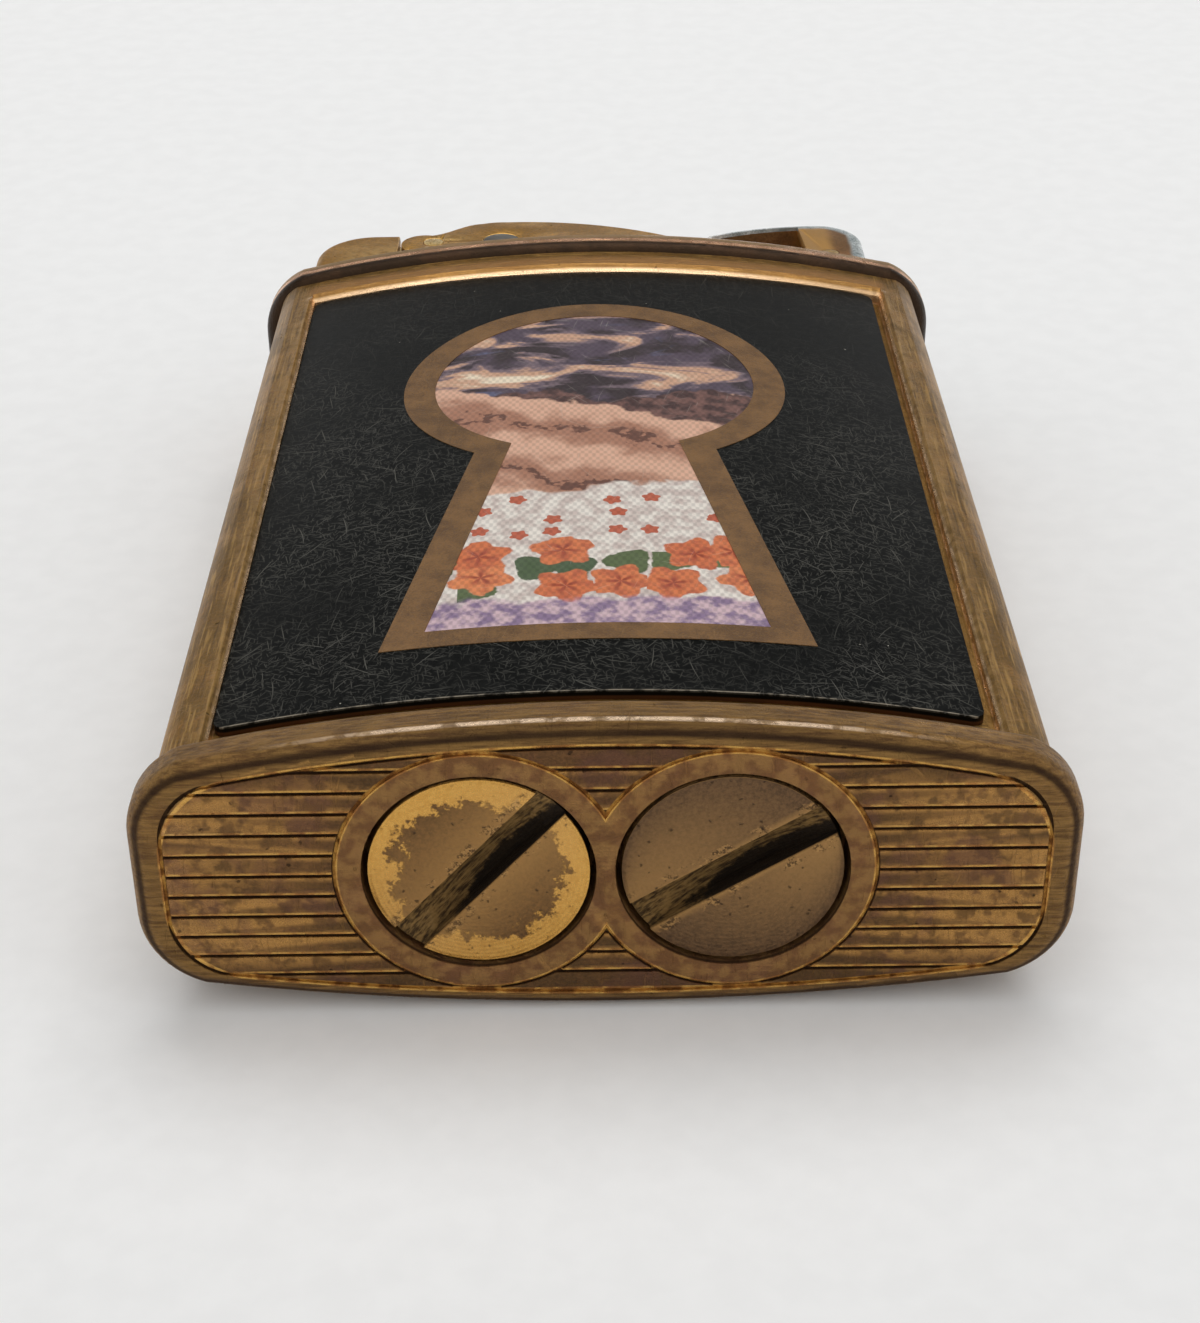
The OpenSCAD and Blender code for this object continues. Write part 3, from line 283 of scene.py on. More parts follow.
def finish_shader(tree, shader, colour, roughness, height=None, bump=0.1, metallic=0.0):
    """Wires colour, roughness and a bump height to a Principled BSDF."""
    for socket, value in (("Base Color", colour), ("Roughness", roughness), ("Metallic", metallic)):
        connect(tree, shader.inputs[socket], value)
    if height is not None:
        made = add(tree, "ShaderNodeBump", {"Height": height, "Strength": bump, "Distance": mm(0.1)})
        tree.links.new(made.outputs[0], shader.inputs["Normal"])


print("material helpers ready")

# %% [markdown]
# ## Marks that many finishes share
# Old brass, enamel and steel all carry the same kinds of marks. Each kind is one node group: fine scratches,
# dark pits, and the cloudy tarnish of handled brass. A scratch is a noise stretched very long in one
# direction and cut to its highest crests; four directions together look like years in a pocket.

# %% Scratches group
def build_scratches():
    tree, ins, outs = new_group("Fine scratches", ["Mask"], Scale=1.0, Threshold=0.68)
    lines = []
    for number, degrees in enumerate((12, 58, 101, 148)):
        place = turned(tree, ins["Vector"], math.radians(degrees))
        bent = vector(tree, "ADD", noise_colour(tree, place, 0.25, 1.0), place)
        stretched = vector(tree, "MULTIPLY", bent, (0.35, 9.0 + number, 0.35))
        crest = minus(tree, noise(tree, stretched, ins["Scale"], 2.0, 0.6), ins["Threshold"])
        lines.append(times(tree, crest, 14.0, clamp=True))
    tree.links.new(highest(tree, *lines), outs["Mask"])
    return tree


SCRATCHES = build_scratches()
print("group", SCRATCHES.name)

# %% [markdown]
# Gloss shows single hairlines rather than a haze. A Voronoi texture gives every cell a middle and a random
# colour. The place seen from that middle, turned by one channel of the colour, is a little drawing sheet of
# its own, and on it one short curved line is drawn. Several sizes of cell laid over each other cross like
# real scratches.

# %% Hairlines group
def build_hairlines():
    tree, ins, outs = new_group("Hairlines", ["Mask"], Cells=1.0, Width=0.03, Share=0.8)
    place = scaled(tree, ins["Vector"], ins["Cells"])
    cells = add(tree, "ShaderNodeTexVoronoi", {"Vector": place, "Scale": 1.0}, voronoi_dimensions="2D").outputs
    chance = add(tree, "ShaderNodeSeparateColor", {0: cells["Color"]}).outputs
    sheet = vector(tree, "SUBTRACT", place, cells["Position"])
    u, v, _ = split(tree, turned(tree, sheet, ramp(tree, chance[0], 0.0, 1.0, -1.9, 0.7)))
    bend = times(tree, times(tree, u, u), times(tree, minus(tree, chance[1], 0.5), 0.4))
    off = maths(tree, "ABSOLUTE", plus(tree, v, bend))
    line = ramp(tree, off, times(tree, ins["Width"], 0.3), ins["Width"], 1.0, 0.0)
    ends = ramp(tree, maths(tree, "ABSOLUTE", u), 0.2, 0.55, 1.0, 0.0)
    drawn = maths(tree, "LESS_THAN", chance[2], ins["Share"])
    tree.links.new(times(tree, line, ends, drawn), outs["Mask"])
    return tree


def hairlines(tree, place, layers):
    """Crossing hairlines: layers are (cells per millimetre, half width in cells, strength)."""
    masks = []
    for number, (cells, width, strength) in enumerate(layers):
        moved = vector(tree, "ADD", place, (3.7 * number, 5.3 * number, 0))
        mask = use_group(tree, HAIRLINES, Vector=moved, Cells=cells, Width=width)["Mask"]
        masks.append(times(tree, mask, strength))
    return highest(tree, *masks)


HAIRLINES = build_hairlines()
print("group", HAIRLINES.name)

# %% [markdown]
# Pits are the small dark craters where brass has corroded. Voronoi cells give one centre each; a random
# number per cell decides whether that centre shows, so the pits don't fall on a grid.

# %% Pits group
def build_pits():
    tree, ins, outs = new_group("Dark pits", ["Mask"], Scale=2.0, Radius=0.16, Share=0.25)
    nudge = noise_colour(tree, ins["Vector"], 3.0, 2.0)
    place = vector(tree, "ADD", ins["Vector"], scaled(tree, nudge, 0.35))
    cells = add(tree, "ShaderNodeTexVoronoi", {"Vector": place, "Scale": ins["Scale"]}).outputs
    chance = add(tree, "ShaderNodeSeparateColor", {0: cells["Color"]}).outputs[0]
    size = maths(tree, "DIVIDE", cells["Distance"], ins["Radius"])
    spot = ramp(tree, size, 0.5, 1.1, 1.0, 0.0)
    tree.links.new(times(tree, spot, maths(tree, "LESS_THAN", chance, ins["Share"])), outs["Mask"])
    return tree


PITS = build_pits()
print("group", PITS.name)

# %% [markdown]
# Tarnish is the main look of this lighter: lacquer worn through to brown, olive and copper clouds, with
# brighter metal between them. Three noises of falling size mix four colours, and the same clouds drive the
# roughness, because tarnish is duller than metal.

# %% Tarnish group
def build_tarnish():
    tree, ins, outs = new_group(
        "Brass tarnish", ["Color", "Roughness", "Height"], Scale=1.0, Metal=srgb(196, 152, 92),
        Brown=srgb(132, 92, 54), Copper=srgb(164, 104, 66), Olive=srgb(112, 88, 50), Age=0.5)
    clouds = noise(tree, ins["Vector"], times(tree, ins["Scale"], 0.32), 5.0, 0.62)
    patches = noise(tree, ins["Vector"], times(tree, ins["Scale"], 1.3), 6.0, 0.7, Distortion=0.6)
    grain = noise(tree, ins["Vector"], times(tree, ins["Scale"], 7.0), 4.0, 0.75)
    worn = ramp(tree, plus(tree, clouds, times(tree, patches, 0.5)), 0.62, 0.92)
    fresh = times(tree, minus(tree, 1.0, ins["Age"]), plus(tree, worn, 0.25), clamp=True)
    aged = minus(tree, 1.0, fresh, clamp=True)
    colour = paint(
        tree, ins["Metal"], (aged, ins["Brown"]), (ramp(tree, patches, 0.5, 0.72, 0.0, 0.55), ins["Copper"]),
        (ramp(tree, clouds, 0.42, 0.6, 0.6, 0.0), ins["Olive"]))
    colour = shaded(tree, colour, ramp(tree, grain, 0.3, 0.7, 0.72, 1.22))
    tree.links.new(colour, outs["Color"])
    tree.links.new(plus(tree, times(tree, aged, 0.16), times(tree, grain, 0.22), 0.18), outs["Roughness"])
    tree.links.new(plus(tree, grain, times(tree, patches, 0.8)), outs["Height"])
    return tree


TARNISH = build_tarnish()
print("group", TARNISH.name)

# %% [markdown]
# ## Brass of the case, the plates and the base
# The same tarnish, pits and scratches make every brass finish; only the colours and amounts differ. Edges
# that hands rub stay bright. The finished pieces carry that as an attribute named wear, which is 1 on a
# rounded edge and 0 on a flat, so the material only has to read it and break it up with noise.

# %% Brass builder
def brass(name, age, metal, brown, copper, olive, bright,
          pits=0.6, metallic=0.7, rub=1.0, relief=0.3, extra=None):
    """A worn brass. extra may change the colour, roughness and height before they are wired."""
    made, tree, shader, place = material(name)
    tarnish = use_group(
        tree, TARNISH, Vector=place, Metal=metal, Brown=brown, Copper=copper, Olive=olive, Age=age)
    scratched = use_group(tree, SCRATCHES, Vector=place, Scale=1.1, Threshold=0.66)["Mask"]
    pitted = use_group(tree, PITS, Vector=place, Scale=1.6, Radius=0.13, Share=0.3)["Mask"]
    broken = ramp(tree, noise(tree, place, 1.8, 3.0), 0.36, 0.56, 0.25 * rub, rub)
    rubbed = times(tree, edge_wear(tree), broken, clamp=True)
    colour = paint(
        tree, tarnish["Color"], (rubbed, bright), (scratched, bright, 0.25), (pitted, srgb(38, 27, 18), pits))
    rough = minus(tree, tarnish["Roughness"], times(tree, rubbed, 0.16))
    rough = plus(tree, rough, times(tree, pitted, 0.3), clamp=True)
    height = minus(tree, tarnish["Height"], plus(tree, times(tree, scratched, 0.5), times(tree, pitted, 1.2)))
    if extra:
        colour, rough, height = extra(tree, place, colour, rough, height)
    finish_shader(tree, shader, colour, rough, height, relief, metallic)
    return made


print("brass builder ready")

# %% [markdown]
# The engraved lines of the base hold dark dirt. Their upper lips are gold: brass rubbed bright, with a painted
# highlight in it as if lit from above. The floor of a line lies 0.12 mm behind the flat, so the depth along Y
# finds the dirt. The gold needs to know where the lines run: rules at even steps, one ring round each screw,
# and a margin line that follows the base's outline.

# %% Where the engraved lines run
def inside_arc(tree, x, v, half_thick, radius, side):
    """Distance from a point to the arc that bounds the field in front (side 1) or behind (side -1)."""
    return minus(tree, radius, length_2d(tree, x, minus(tree, v, side * (half_thick - radius))))


def inside_corner(tree, radius, across, along):
    """Distance from a point to a rounded corner, from its distances to the two sides."""
    return minus(tree, radius, length_2d(
        tree, highest(tree, minus(tree, radius, across), 0.0), highest(tree, minus(tree, radius, along), 0.0)))


def build_engraving():
    tree, ins, outs = new_group("Engraved lines of the base", ["Gold", "Outside", "Ring"])
    x, _, z = split(tree, ins["Vector"])
    v = minus(tree, z, HALF_THICK)
    side = maths(tree, "ABSOLUTE", x)
    from_ring = minus(tree, length_2d(tree, minus(tree, side, SCREW_X), v), RING_R)
    half_thick = HALF_THICK - MARGIN
    from_margin = inside_corner(tree, MARGIN_CORNER, maths(
        tree, "MINIMUM", inside_arc(tree, x, v, half_thick, FRONT_R - MARGIN, 1),
        inside_arc(tree, x, v, half_thick, BACK_R - MARGIN, -1)),
        minus(tree, HALF_WIDTH - MARGIN_END, side))
    step = maths(tree, "DIVIDE", v, RULE_PITCH)
    above = times(tree, minus(tree, step, maths(tree, "ROUND", step)), RULE_PITCH)
    rules = times(tree, band(tree, above, 0.09, 0.08, 0.03), maths(
        tree, "GREATER_THAN", from_margin, 0.12), maths(tree, "GREATER_THAN", from_ring, 0.0))
    margin = band(tree, from_margin, 0.02, 0.09, 0.03)
    ring = times(tree, band(tree, from_ring, -0.13, 0.09, 0.03), maths(tree, "GREATER_THAN", from_margin, 0.0))
    tree.links.new(highest(tree, times(tree, rules, 0.85), margin, ring), outs["Gold"])
    tree.links.new(ramp(tree, from_margin, 0.1, -0.1), outs["Outside"])
    tree.links.new(ramp(tree, from_ring, 0.0, -0.2), outs["Ring"])
    return tree


ENGRAVING = build_engraving()
print("group", ENGRAVING.name)

# %% [markdown]
# The flat of the base is bruised to mauve in patches, and the rings round the screws are a warmer brown. On the
# rim the metal is olive and brushed along the edge, with a painted highlight along its crest and a line of
# painted shade in front of it.

# %% Base brass with dirt and gold in the lines, and painted highlights and shade
def rim_depth(tree, place):
    """1 on the outermost front of a flange, in its middle, and 0 farther in and towards its ends."""
    x, _, z = split(tree, place)
    under = minus(tree, FRONT_R, length_2d(tree, x, minus(tree, z, 2 * HALF_THICK - FRONT_R)))
    return times(tree, ramp(tree, under, 0.35, 0.1), ramp(tree, maths(tree, "ABSOLUTE", x), 14.0, 6.0))


def engraving_wear_and_painted_light(tree, place, colour, rough, height):
    behind = minus(tree, split(tree, place)[1], BASE_Y)
    near = ramp(tree, behind, 0.13, 0.3, 1.0, 0.0)
    dirt = times(tree, ramp(tree, behind, 0.02, 0.09), near)
    lines = use_group(tree, ENGRAVING, Vector=place)
    broken = noise(tree, place, 1.5, 6.0)
    # gold on the upper lips of the lines: rubbed brass with a painted highlight in it
    gold = times(tree, lines["Gold"], near, ramp(tree, broken, 0.38, 0.56, 0.5, 1.0))
    bruised = times(tree, ramp(tree, noise(tree, place, 0.55, 4.0), 0.5, 0.66, 0.0, 0.45), minus(
        tree, 1.0, lines["Outside"]))
    brushed = noise(tree, vector(tree, "MULTIPLY", place, (0.5, 6.0, 6.0)), 1.0, 6.0, 0.7)
    rim = rim_depth(tree, place)
    # crest: where a painted highlight runs along the rim's crest, broken by noise
    crest = times(tree, rim, band(tree, behind, 0.58, 0.09, 0.05), ramp(tree, broken, 0.38, 0.54, 0.25, 1.0))
    colour = paint(
        tree, colour, (bruised, srgb(108, 70, 60)),
        (lines["Ring"], between(tree, broken, 0.4, 0.6, srgb(146, 100, 60), srgb(192, 144, 84)), 0.5),
        (lines["Outside"], between(tree, brushed, 0.34, 0.64, srgb(100, 70, 34), srgb(172, 132, 72)), 0.62),
        (dirt, srgb(48, 28, 14), 0.85),
        (gold, between(tree, broken, 0.4, 0.6, srgb(190, 124, 54), srgb(228, 176, 88)), 0.9),
        # the last two layers: the painted highlight on the crest and a painted shade line in front of it
        (crest, srgb(252, 220, 186)),
        (times(tree, rim, band(tree, behind, 0.3, 0.1, 0.08)), srgb(58, 36, 20), 0.55))
    rough = minus(tree, rough, times(tree, crest, 0.2), clamp=True)
    rough = plus(tree, rough, times(tree, minus(tree, dirt, gold), 0.25), clamp=True)
    return colour, rough, plus(tree, height, times(tree, brushed, 0.8))


BASE_BRASS = brass(
    "Base brass", 0.75, srgb(126, 90, 52), srgb(104, 72, 42), srgb(116, 74, 52), srgb(92, 68, 36),
    srgb(182, 134, 72), metallic=0.75, relief=0.8, extra=engraving_wear_and_painted_light)
print("material", BASE_BRASS.name)

# %% [markdown]
# ## Case and top plate
# The top plate's flange is olive behind, and in front of that run a worn copper line with a painted highlight
# on it and a band of painted shade. The frame round the panel was drawn in a die: its side strips have streaks
# along them, and so have the strips at its head and foot. Where the frame turns down to the panel, its edge
# carries a painted highlight line.

# %% Flange and frame
def flange_with_painted_light(tree, place, colour, rough, height):
    """A worn copper line with a painted highlight on the flange's far edge, and painted shade in front of it.
    """
    below = minus(tree, split(tree, place)[1], DECK_Y)
    line = times(tree, band(tree, below, -0.95, 0.17, 0.06), ramp(
        tree, noise(tree, place, 1.2, 5.0), 0.4, 0.52, 0.35, 1.0))
    # a tan band behind, a band of painted shade, and the copper line with its painted highlight
    colour = paint(
        tree, colour, (ramp(tree, below, -0.8, -0.6, 0.0, 0.6), srgb(176, 144, 92)),
        (band(tree, below, -1.7, 0.5, 0.12), srgb(34, 23, 14), 0.93), (line, srgb(246, 186, 138)))
    return colour, minus(tree, rough, times(tree, line, 0.15), clamp=True), height


def frame_streaks_and_painted_glint(tree, place, colour, rough, height):
    """Streaks along each strip of the frame, and painted highlight lines where it turns down to the panel."""
    x, y, z = split(tree, place)
    side, past_head = maths(tree, "ABSOLUTE", x), minus(tree, y, PANEL_HEAD_Y)
    past_side = minus(tree, side, PANEL_HALF_W)
    front = ramp(tree, z, HALF_THICK + 2.0, HALF_THICK + 3.0)
    over_panel = ramp(tree, past_side, 0.9, 0.3)
    along_head = times(tree, band(tree, past_head, 0.16, 0.2, 0.1), ramp(
        tree, maths(tree, "ABSOLUTE", plus(tree, x, 2.5)), 17.0, 5.0, 0.5, 1.0), over_panel)
    along_side = times(tree, band(tree, past_side, 0.28, 0.07, 0.05), ramp(
        tree, past_head, 0.4, 0.1), ramp(tree, noise(tree, place, 1.4, 5.0), 0.35, 0.55, 0.2, 0.7))
    # painted highlight lines along the frame's inner edges, where it turns down to the panel
    painted_glint = times(tree, front, highest(tree, along_head, along_side))
    at_side = ramp(tree, past_side, -0.1, 0.15)
    stretch = add(tree, "ShaderNodeCombineXYZ", {
        0: ramp(tree, at_side, 0.0, 1.0, 0.35, 7.0), 1: ramp(tree, at_side, 0.0, 1.0, 7.0, 0.35),
        2: 7.0}).outputs[0]
    streaks = noise(tree, vector(tree, "MULTIPLY", place, stretch), 1.0, 5.0, 0.6)
    head = times(tree, band(tree, past_head, 1.0, 0.5, 0.4), over_panel, front)
    colour = paint(
        tree, colour, (ramp(tree, streaks, 0.52, 0.66, 0.0, 0.6), srgb(206, 164, 96)),
        (ramp(tree, streaks, 0.46, 0.32, 0.0, 0.6), srgb(74, 50, 24)),
        (head, srgb(204, 148, 88), 0.55), (painted_glint, srgb(252, 212, 168)))
    rough = minus(tree, rough, times(tree, painted_glint, 0.15), clamp=True)
    return colour, rough, plus(tree, height, times(tree, streaks, 1.5))


SHELL_BRASS = brass(
    "Body brass", 0.6, srgb(182, 138, 70), srgb(138, 100, 46), srgb(154, 104, 54), srgb(118, 90, 42),
    srgb(214, 168, 100), metallic=0.85, rub=0.4, extra=frame_streaks_and_painted_glint)
RIM_BRASS = brass(
    "Top plate copper brass", 0.5, srgb(190, 136, 86), srgb(132, 92, 56), srgb(168, 108, 74), srgb(112, 86, 50),
    srgb(236, 178, 140), metallic=0.85, extra=flange_with_painted_light)
print("materials", SHELL_BRASS.name, "and", RIM_BRASS.name)

# %% [markdown]
# ## Other finishes
# The mechanism's plates are a yellower brass, the inner parts are plain steel, bright brass, cotton, cork
# and leather. Each has its own grain so that no part is a flat colour, also where it shows only at a pose.

# %% Mechanism and inner finishes
def steel(name, dark, light, low=0.3, high=0.5, metallic=0.9):
    made, tree, shader, place = material(name)
    cloud = noise(tree, place, 1.4, 6.0)
    lines = noise(tree, vector(tree, "MULTIPLY", place, (2, 30, 2)), 1.0, 3.0)
    mixed = plus(tree, times(tree, cloud, 0.7), times(tree, lines, 0.3))
    colour = between(tree, mixed, 0.35, 0.65, dark, light)
    colour = paint(tree, colour, (edge_wear(tree), srgb(205, 203, 198), 0.5))
    finish_shader(tree, shader, colour, ramp(tree, cloud, 0.3, 0.7, low, high), lines, 0.15, metallic)
    return made


def soft(name, dark, light, scale, rough, bump):
    """A fibrous or leathery finish from two sizes of noise."""
    made, tree, shader, place = material(name)
    fine = noise(tree, place, scale, 8.0, 0.7)
    mixed = plus(tree, times(tree, fine, 0.6), times(tree, noise(tree, place, scale * 0.2, 3.0), 0.4))
    finish_shader(tree, shader, between(tree, mixed, 0.35, 0.65, dark, light), rough, fine, bump)
    return made


PLATE_BRASS = brass(
    "Plate brass", 0.45, srgb(224, 170, 80), srgb(176, 128, 56), srgb(184, 124, 62), srgb(150, 110, 48),
    srgb(240, 194, 116), metallic=0.85)
BRIGHT_BRASS = brass(
    "Bright brass", 0.2, srgb(214, 176, 104), srgb(172, 134, 72), srgb(184, 138, 84), srgb(160, 130, 70),
    srgb(236, 204, 140), pits=0.2)
STEEL = steel("Dull steel", srgb(96, 92, 86), srgb(150, 146, 138))
SPRING_STEEL = steel("Spring steel", srgb(120, 118, 114), srgb(176, 174, 170), 0.22, 0.38)
FLINT_GREY = steel("Flint alloy", srgb(60, 58, 56), srgb(92, 90, 88), 0.6, 0.8, 0.3)
COTTON = soft("Cotton wadding", srgb(196, 188, 168), srgb(238, 233, 220), 3.0, 0.95, 0.8)
CORK = soft("Cork pad", srgb(112, 82, 52), srgb(168, 130, 88), 4.0, 0.9, 0.6)
LEATHER = soft("Leather washer", srgb(58, 36, 22), srgb(96, 64, 40), 5.0, 0.7, 0.5)
print("finishes", len(bpy.data.materials))

# %% [markdown]
# ## Screws
# The left screw keeps bright gilding round its rim, worn through to brown in the middle and torn at the
# slot; the right one is brown all over. Round a screw the distance from its centre says where hands and
# coins rub, so the finish reads X and Z from the middle of the head. Inside the slot, streaks run along the
# cut, and a painted shadow blackens one side of its floor.

# %% Screw finishes
def slot_with_painted_shadow(tree, place, torn, streaks):
    """Streaked brass on the walls of a slot, with a painted shadow over one side of it."""
    walls = between(tree, streaks, 0.36, 0.62, srgb(66, 48, 26), srgb(150, 118, 70))
    ragged = plus(tree, place[2], times(tree, minus(tree, torn, 0.5), 0.9))
    shade_line = ramp(tree, place[0], -3.0, 1.0, -0.8, -0.15)
    # shadow: painted shade over one side of the slot
    shadow = ramp(tree, minus(tree, ragged, shade_line), 0.12, -0.12, 0.0, 0.95)
    return paint(tree, walls, (shadow, srgb(24, 15, 8)))


def screw_finish(name, x, slot_turn, gilt, base_dark, base_light):
    made, tree, shader, place = material(name)
    centred = vector(tree, "SUBTRACT", place, (x, 0, HALF_THICK))
    along_slot = turned(tree, centred, math.radians(slot_turn), "Y_AXIS")
    parts = split(tree, along_slot)
    inside = ramp(tree, minus(tree, parts[1], BASE_Y + HEAD_DROP), 0.03, 0.12)
    radius = length_2d(tree, parts[0], parts[2])
    torn = noise(tree, centred, 1.6, 8.0, 0.72)
    grain = noise(tree, centred, 7.0, 5.0, 0.7)
    # gilding round the rim, with a dark broken lip where it ends
    rim = plus(tree, times(tree, radius, 0.24), times(tree, torn, 0.9))
    gold = times(tree, ramp(tree, rim, 1.2, 1.235), gilt)
    lip = times(tree, gold, ramp(tree, rim, 1.25, 1.21, 0.0, 0.6))
    # the slot, and the metal torn up beside it
    streaks = noise(tree, vector(tree, "MULTIPLY", along_slot, (0.8, 7.0, 9.0)), 1.0, 5.0, 0.65)
    scuffed = times(tree, band(tree, maths(tree, "ABSOLUTE", parts[2]), 0.9, 0.22, 0.1), ramp(
        tree, torn, 0.5, 0.56), minus(tree, 1.0, inside))
    pitted = use_group(tree, PITS, Vector=centred, Scale=2.6, Radius=0.2, Share=0.35)["Mask"]
    pitted = times(tree, pitted, minus(tree, 1.0, highest(tree, inside, times(tree, gold, 0.7))))
    colour = paint(
        tree, between(tree, grain, 0.3, 0.7, base_dark, base_light),
        (gold, between(tree, grain, 0.2, 0.85, srgb(198, 144, 62), srgb(228, 178, 92))),
        (lip, srgb(104, 66, 26)), (edge_wear(tree), srgb(206, 158, 92), 0.5),
        (inside, slot_with_painted_shadow(tree, parts, torn, streaks)),
        (scuffed, between(tree, grain, 0.45, 0.55, srgb(58, 38, 20), srgb(186, 144, 88)), 0.75),
        (pitted, srgb(60, 40, 20), 0.7))
    rough = minus(tree, ramp(tree, grain, 0.3, 0.7, 0.38, 0.55), times(tree, gold, 0.2))
    rough = plus(tree, rough, times(tree, inside, 0.3), clamp=True)
    # turning marks of the lathe: fine rings round the centre
    rings = maths(tree, "SINE", plus(tree, times(tree, radius, 34.0), times(tree, torn, 5.0)))
    height = plus(
        tree, times(tree, grain, minus(tree, 0.9, times(tree, gold, 0.65))), times(tree, rings, 0.06),
        times(tree, inside, streaks, 3.0), times(tree, gold, 0.6))
    finish_shader(tree, shader, colour, rough, minus(tree, height, pitted), 0.5, 0.7)
    return made


FLINT_SCREW_FINISH = screw_finish("Gilt screw", -SCREW_X, 48, 1.0, srgb(74, 50, 28), srgb(124, 88, 50))
FUEL_SCREW_FINISH = screw_finish("Brown screw", SCREW_X, 32, 0.0, srgb(84, 62, 42), srgb(122, 92, 62))
print("screw finishes ready")

# %% [markdown]
# ## Black enamel
# The panel is baked black enamel on copper. It shines softly, and years of rubbing have covered it with fine
# grey hairlines, most of them where hands hold it, and a few pale specks. At the cut edges the copper shows.
# The height along Z can't find them on a curved sheet, so the enamel reads how far a point lies below the
# curved face. The lip at the panel's foot has a pale line, broken here and there: partly rubbed enamel and
# partly a painted highlight.

# %% Enamel finish
HAIR_LAYERS = (
    (3.3, 0.1, 0.34), (2.7, 0.075, 0.36), (2.2, 0.06, 0.4), (1.8, 0.05, 0.44), (1.4, 0.036, 0.55),
    (1.0, 0.024, 0.7), (0.55, 0.014, 1.0))


def depth_in_panel(tree, place):
    """How far a point lies under the panel's curved face, in millimetres."""
    x, _, z = split(tree, place)
    axis_z = HALF_THICK + SHELL_HALF_T - FACE_R
    return minus(tree, FACE_R - PANEL_DROP, length_2d(tree, x, minus(tree, z, axis_z)))


def enamel():
    made, tree, shader, place = material("Black enamel")
    depth, y = depth_in_panel(tree, place), split(tree, place)[1]
    handled = times(tree, ramp(tree, noise(tree, place, 0.16, 3.0), 0.34, 0.56, 0.35, 1.0), ramp(
        tree, y, 14.0, -4.0, 0.4, 1.0))
    hair = times(tree, hairlines(tree, place, HAIR_LAYERS), handled, ramp(tree, depth, 0.07, 0.03))
    specks = use_group(tree, PITS, Vector=place, Scale=0.8, Radius=0.035, Share=0.22)["Mask"]
    dust = noise(tree, place, 2.2, 7.0)
    # lip: a pale line along the panel's foot, partly rubbing and partly a painted highlight
    lip = times(tree, band(tree, y, PANEL_FOOT_Y + 0.05, 0.035, 0.03), ramp(
        tree, dust, 0.4, 0.56, 0.1, 0.6), ramp(tree, depth, 0.1, 0.05))
    copper = ramp(tree, depth, 0.2, 0.27)
    colour = paint(
        tree, between(tree, dust, 0.3, 0.8, srgb(5, 6, 5), srgb(10, 11, 9)),
        (hair, srgb(116, 114, 106), 0.62), (specks, srgb(190, 186, 172), 0.8), (lip, srgb(176, 164, 144)),
        (copper, srgb(84, 56, 36)))
    rough = plus(tree, ramp(tree, dust, 0.3, 0.7, 0.33, 0.38), times(tree, hair, 0.25))
    height = minus(tree, times(tree, dust, 0.08), times(tree, hair, 0.6))
    finish_shader(tree, shader, colour, rough, height, 0.12, times(tree, copper, 0.5))
    shader.inputs["Specular IOR Level"].default_value = 0.12
    return made


ENAMEL = enamel()
print("material", ENAMEL.name)

# %% [markdown]
# ## Gilt border and the picture in the keyhole
# The border is dull gold paint, grainy and brown. The picture is a small garden at dusk: a plum and cream
# sky over hills, fields in the last light, and a cream bank with orange flowers and green leaves, all printed
# with the fine crossed weave of a half-tone. The land is a few masks along Y. The flowers are Voronoi cells:
# each cell chosen at random carries one bloom, and the angle round its middle gives the petals.

# %% Gilt border finish
def gilt_border():
    made, tree, shader, place = material("Brown gilt")
    sand = noise(tree, place, 11.0, 3.0)
    mixed = plus(tree, times(tree, noise(tree, place, 0.7, 6.0, 0.65), 0.6), times(tree, sand, 0.4))
    colour = between(tree, mixed, 0.36, 0.62, srgb(96, 68, 38), srgb(134, 98, 56))
    scratched = use_group(tree, SCRATCHES, Vector=place, Scale=0.9, Threshold=0.68)["Mask"]
    colour = paint(tree, colour, (scratched, srgb(166, 132, 84), 0.3))
    finish_shader(tree, shader, colour, ramp(tree, sand, 0.3, 0.7, 0.45, 0.6), sand, 0.25, 0.3)
    return made


GILT_BORDER = gilt_border()
print("material", GILT_BORDER.name)

# %% Flowers
def flowers(tree, place, scale, radius, share, shift, petals=5.0):
    """Blooms, one for each chosen cell: the mask, each bloom's shade, its dark middle, its place along Y."""
    moved = vector(tree, "ADD", place, (shift, shift, 0))
    flat = vector(tree, "MULTIPLY", moved, (scale, scale, 0))
    cells = add(tree, "ShaderNodeTexVoronoi", {
        "Vector": flat, "Scale": 1.0, "Randomness": 0.75}, voronoi_dimensions="2D").outputs
    pick = add(tree, "ShaderNodeSeparateColor", {0: cells["Color"]}).outputs
    u, v, _ = split(tree, vector(tree, "SUBTRACT", flat, cells["Position"]))
    spin = times(tree, plus(tree, maths(tree, "ARCTAN2", v, u), times(tree, pick[2], 6.0)), petals)
    lobes = times(tree, maths(tree, "SINE", spin), -0.16 * radius)
    frayed = times(tree, minus(tree, noise(tree, flat, 7.0, 3.0), 0.5), 0.3 * radius)
    edge = plus(tree, cells["Distance"], lobes, frayed)
    chosen = maths(tree, "LESS_THAN", pick[0], share)
    mask = times(tree, ramp(tree, edge, radius * 0.9, radius, 1.0, 0.0), chosen)
    middle = ramp(tree, minus(tree, edge, times(tree, lobes, 2.5)), radius * 0.5, 0.0)
    cell_y = maths(tree, "DIVIDE", split(tree, cells["Position"])[1], scale)
    return mask, pick[1], middle, minus(tree, cell_y, shift)


print("flowers ready")

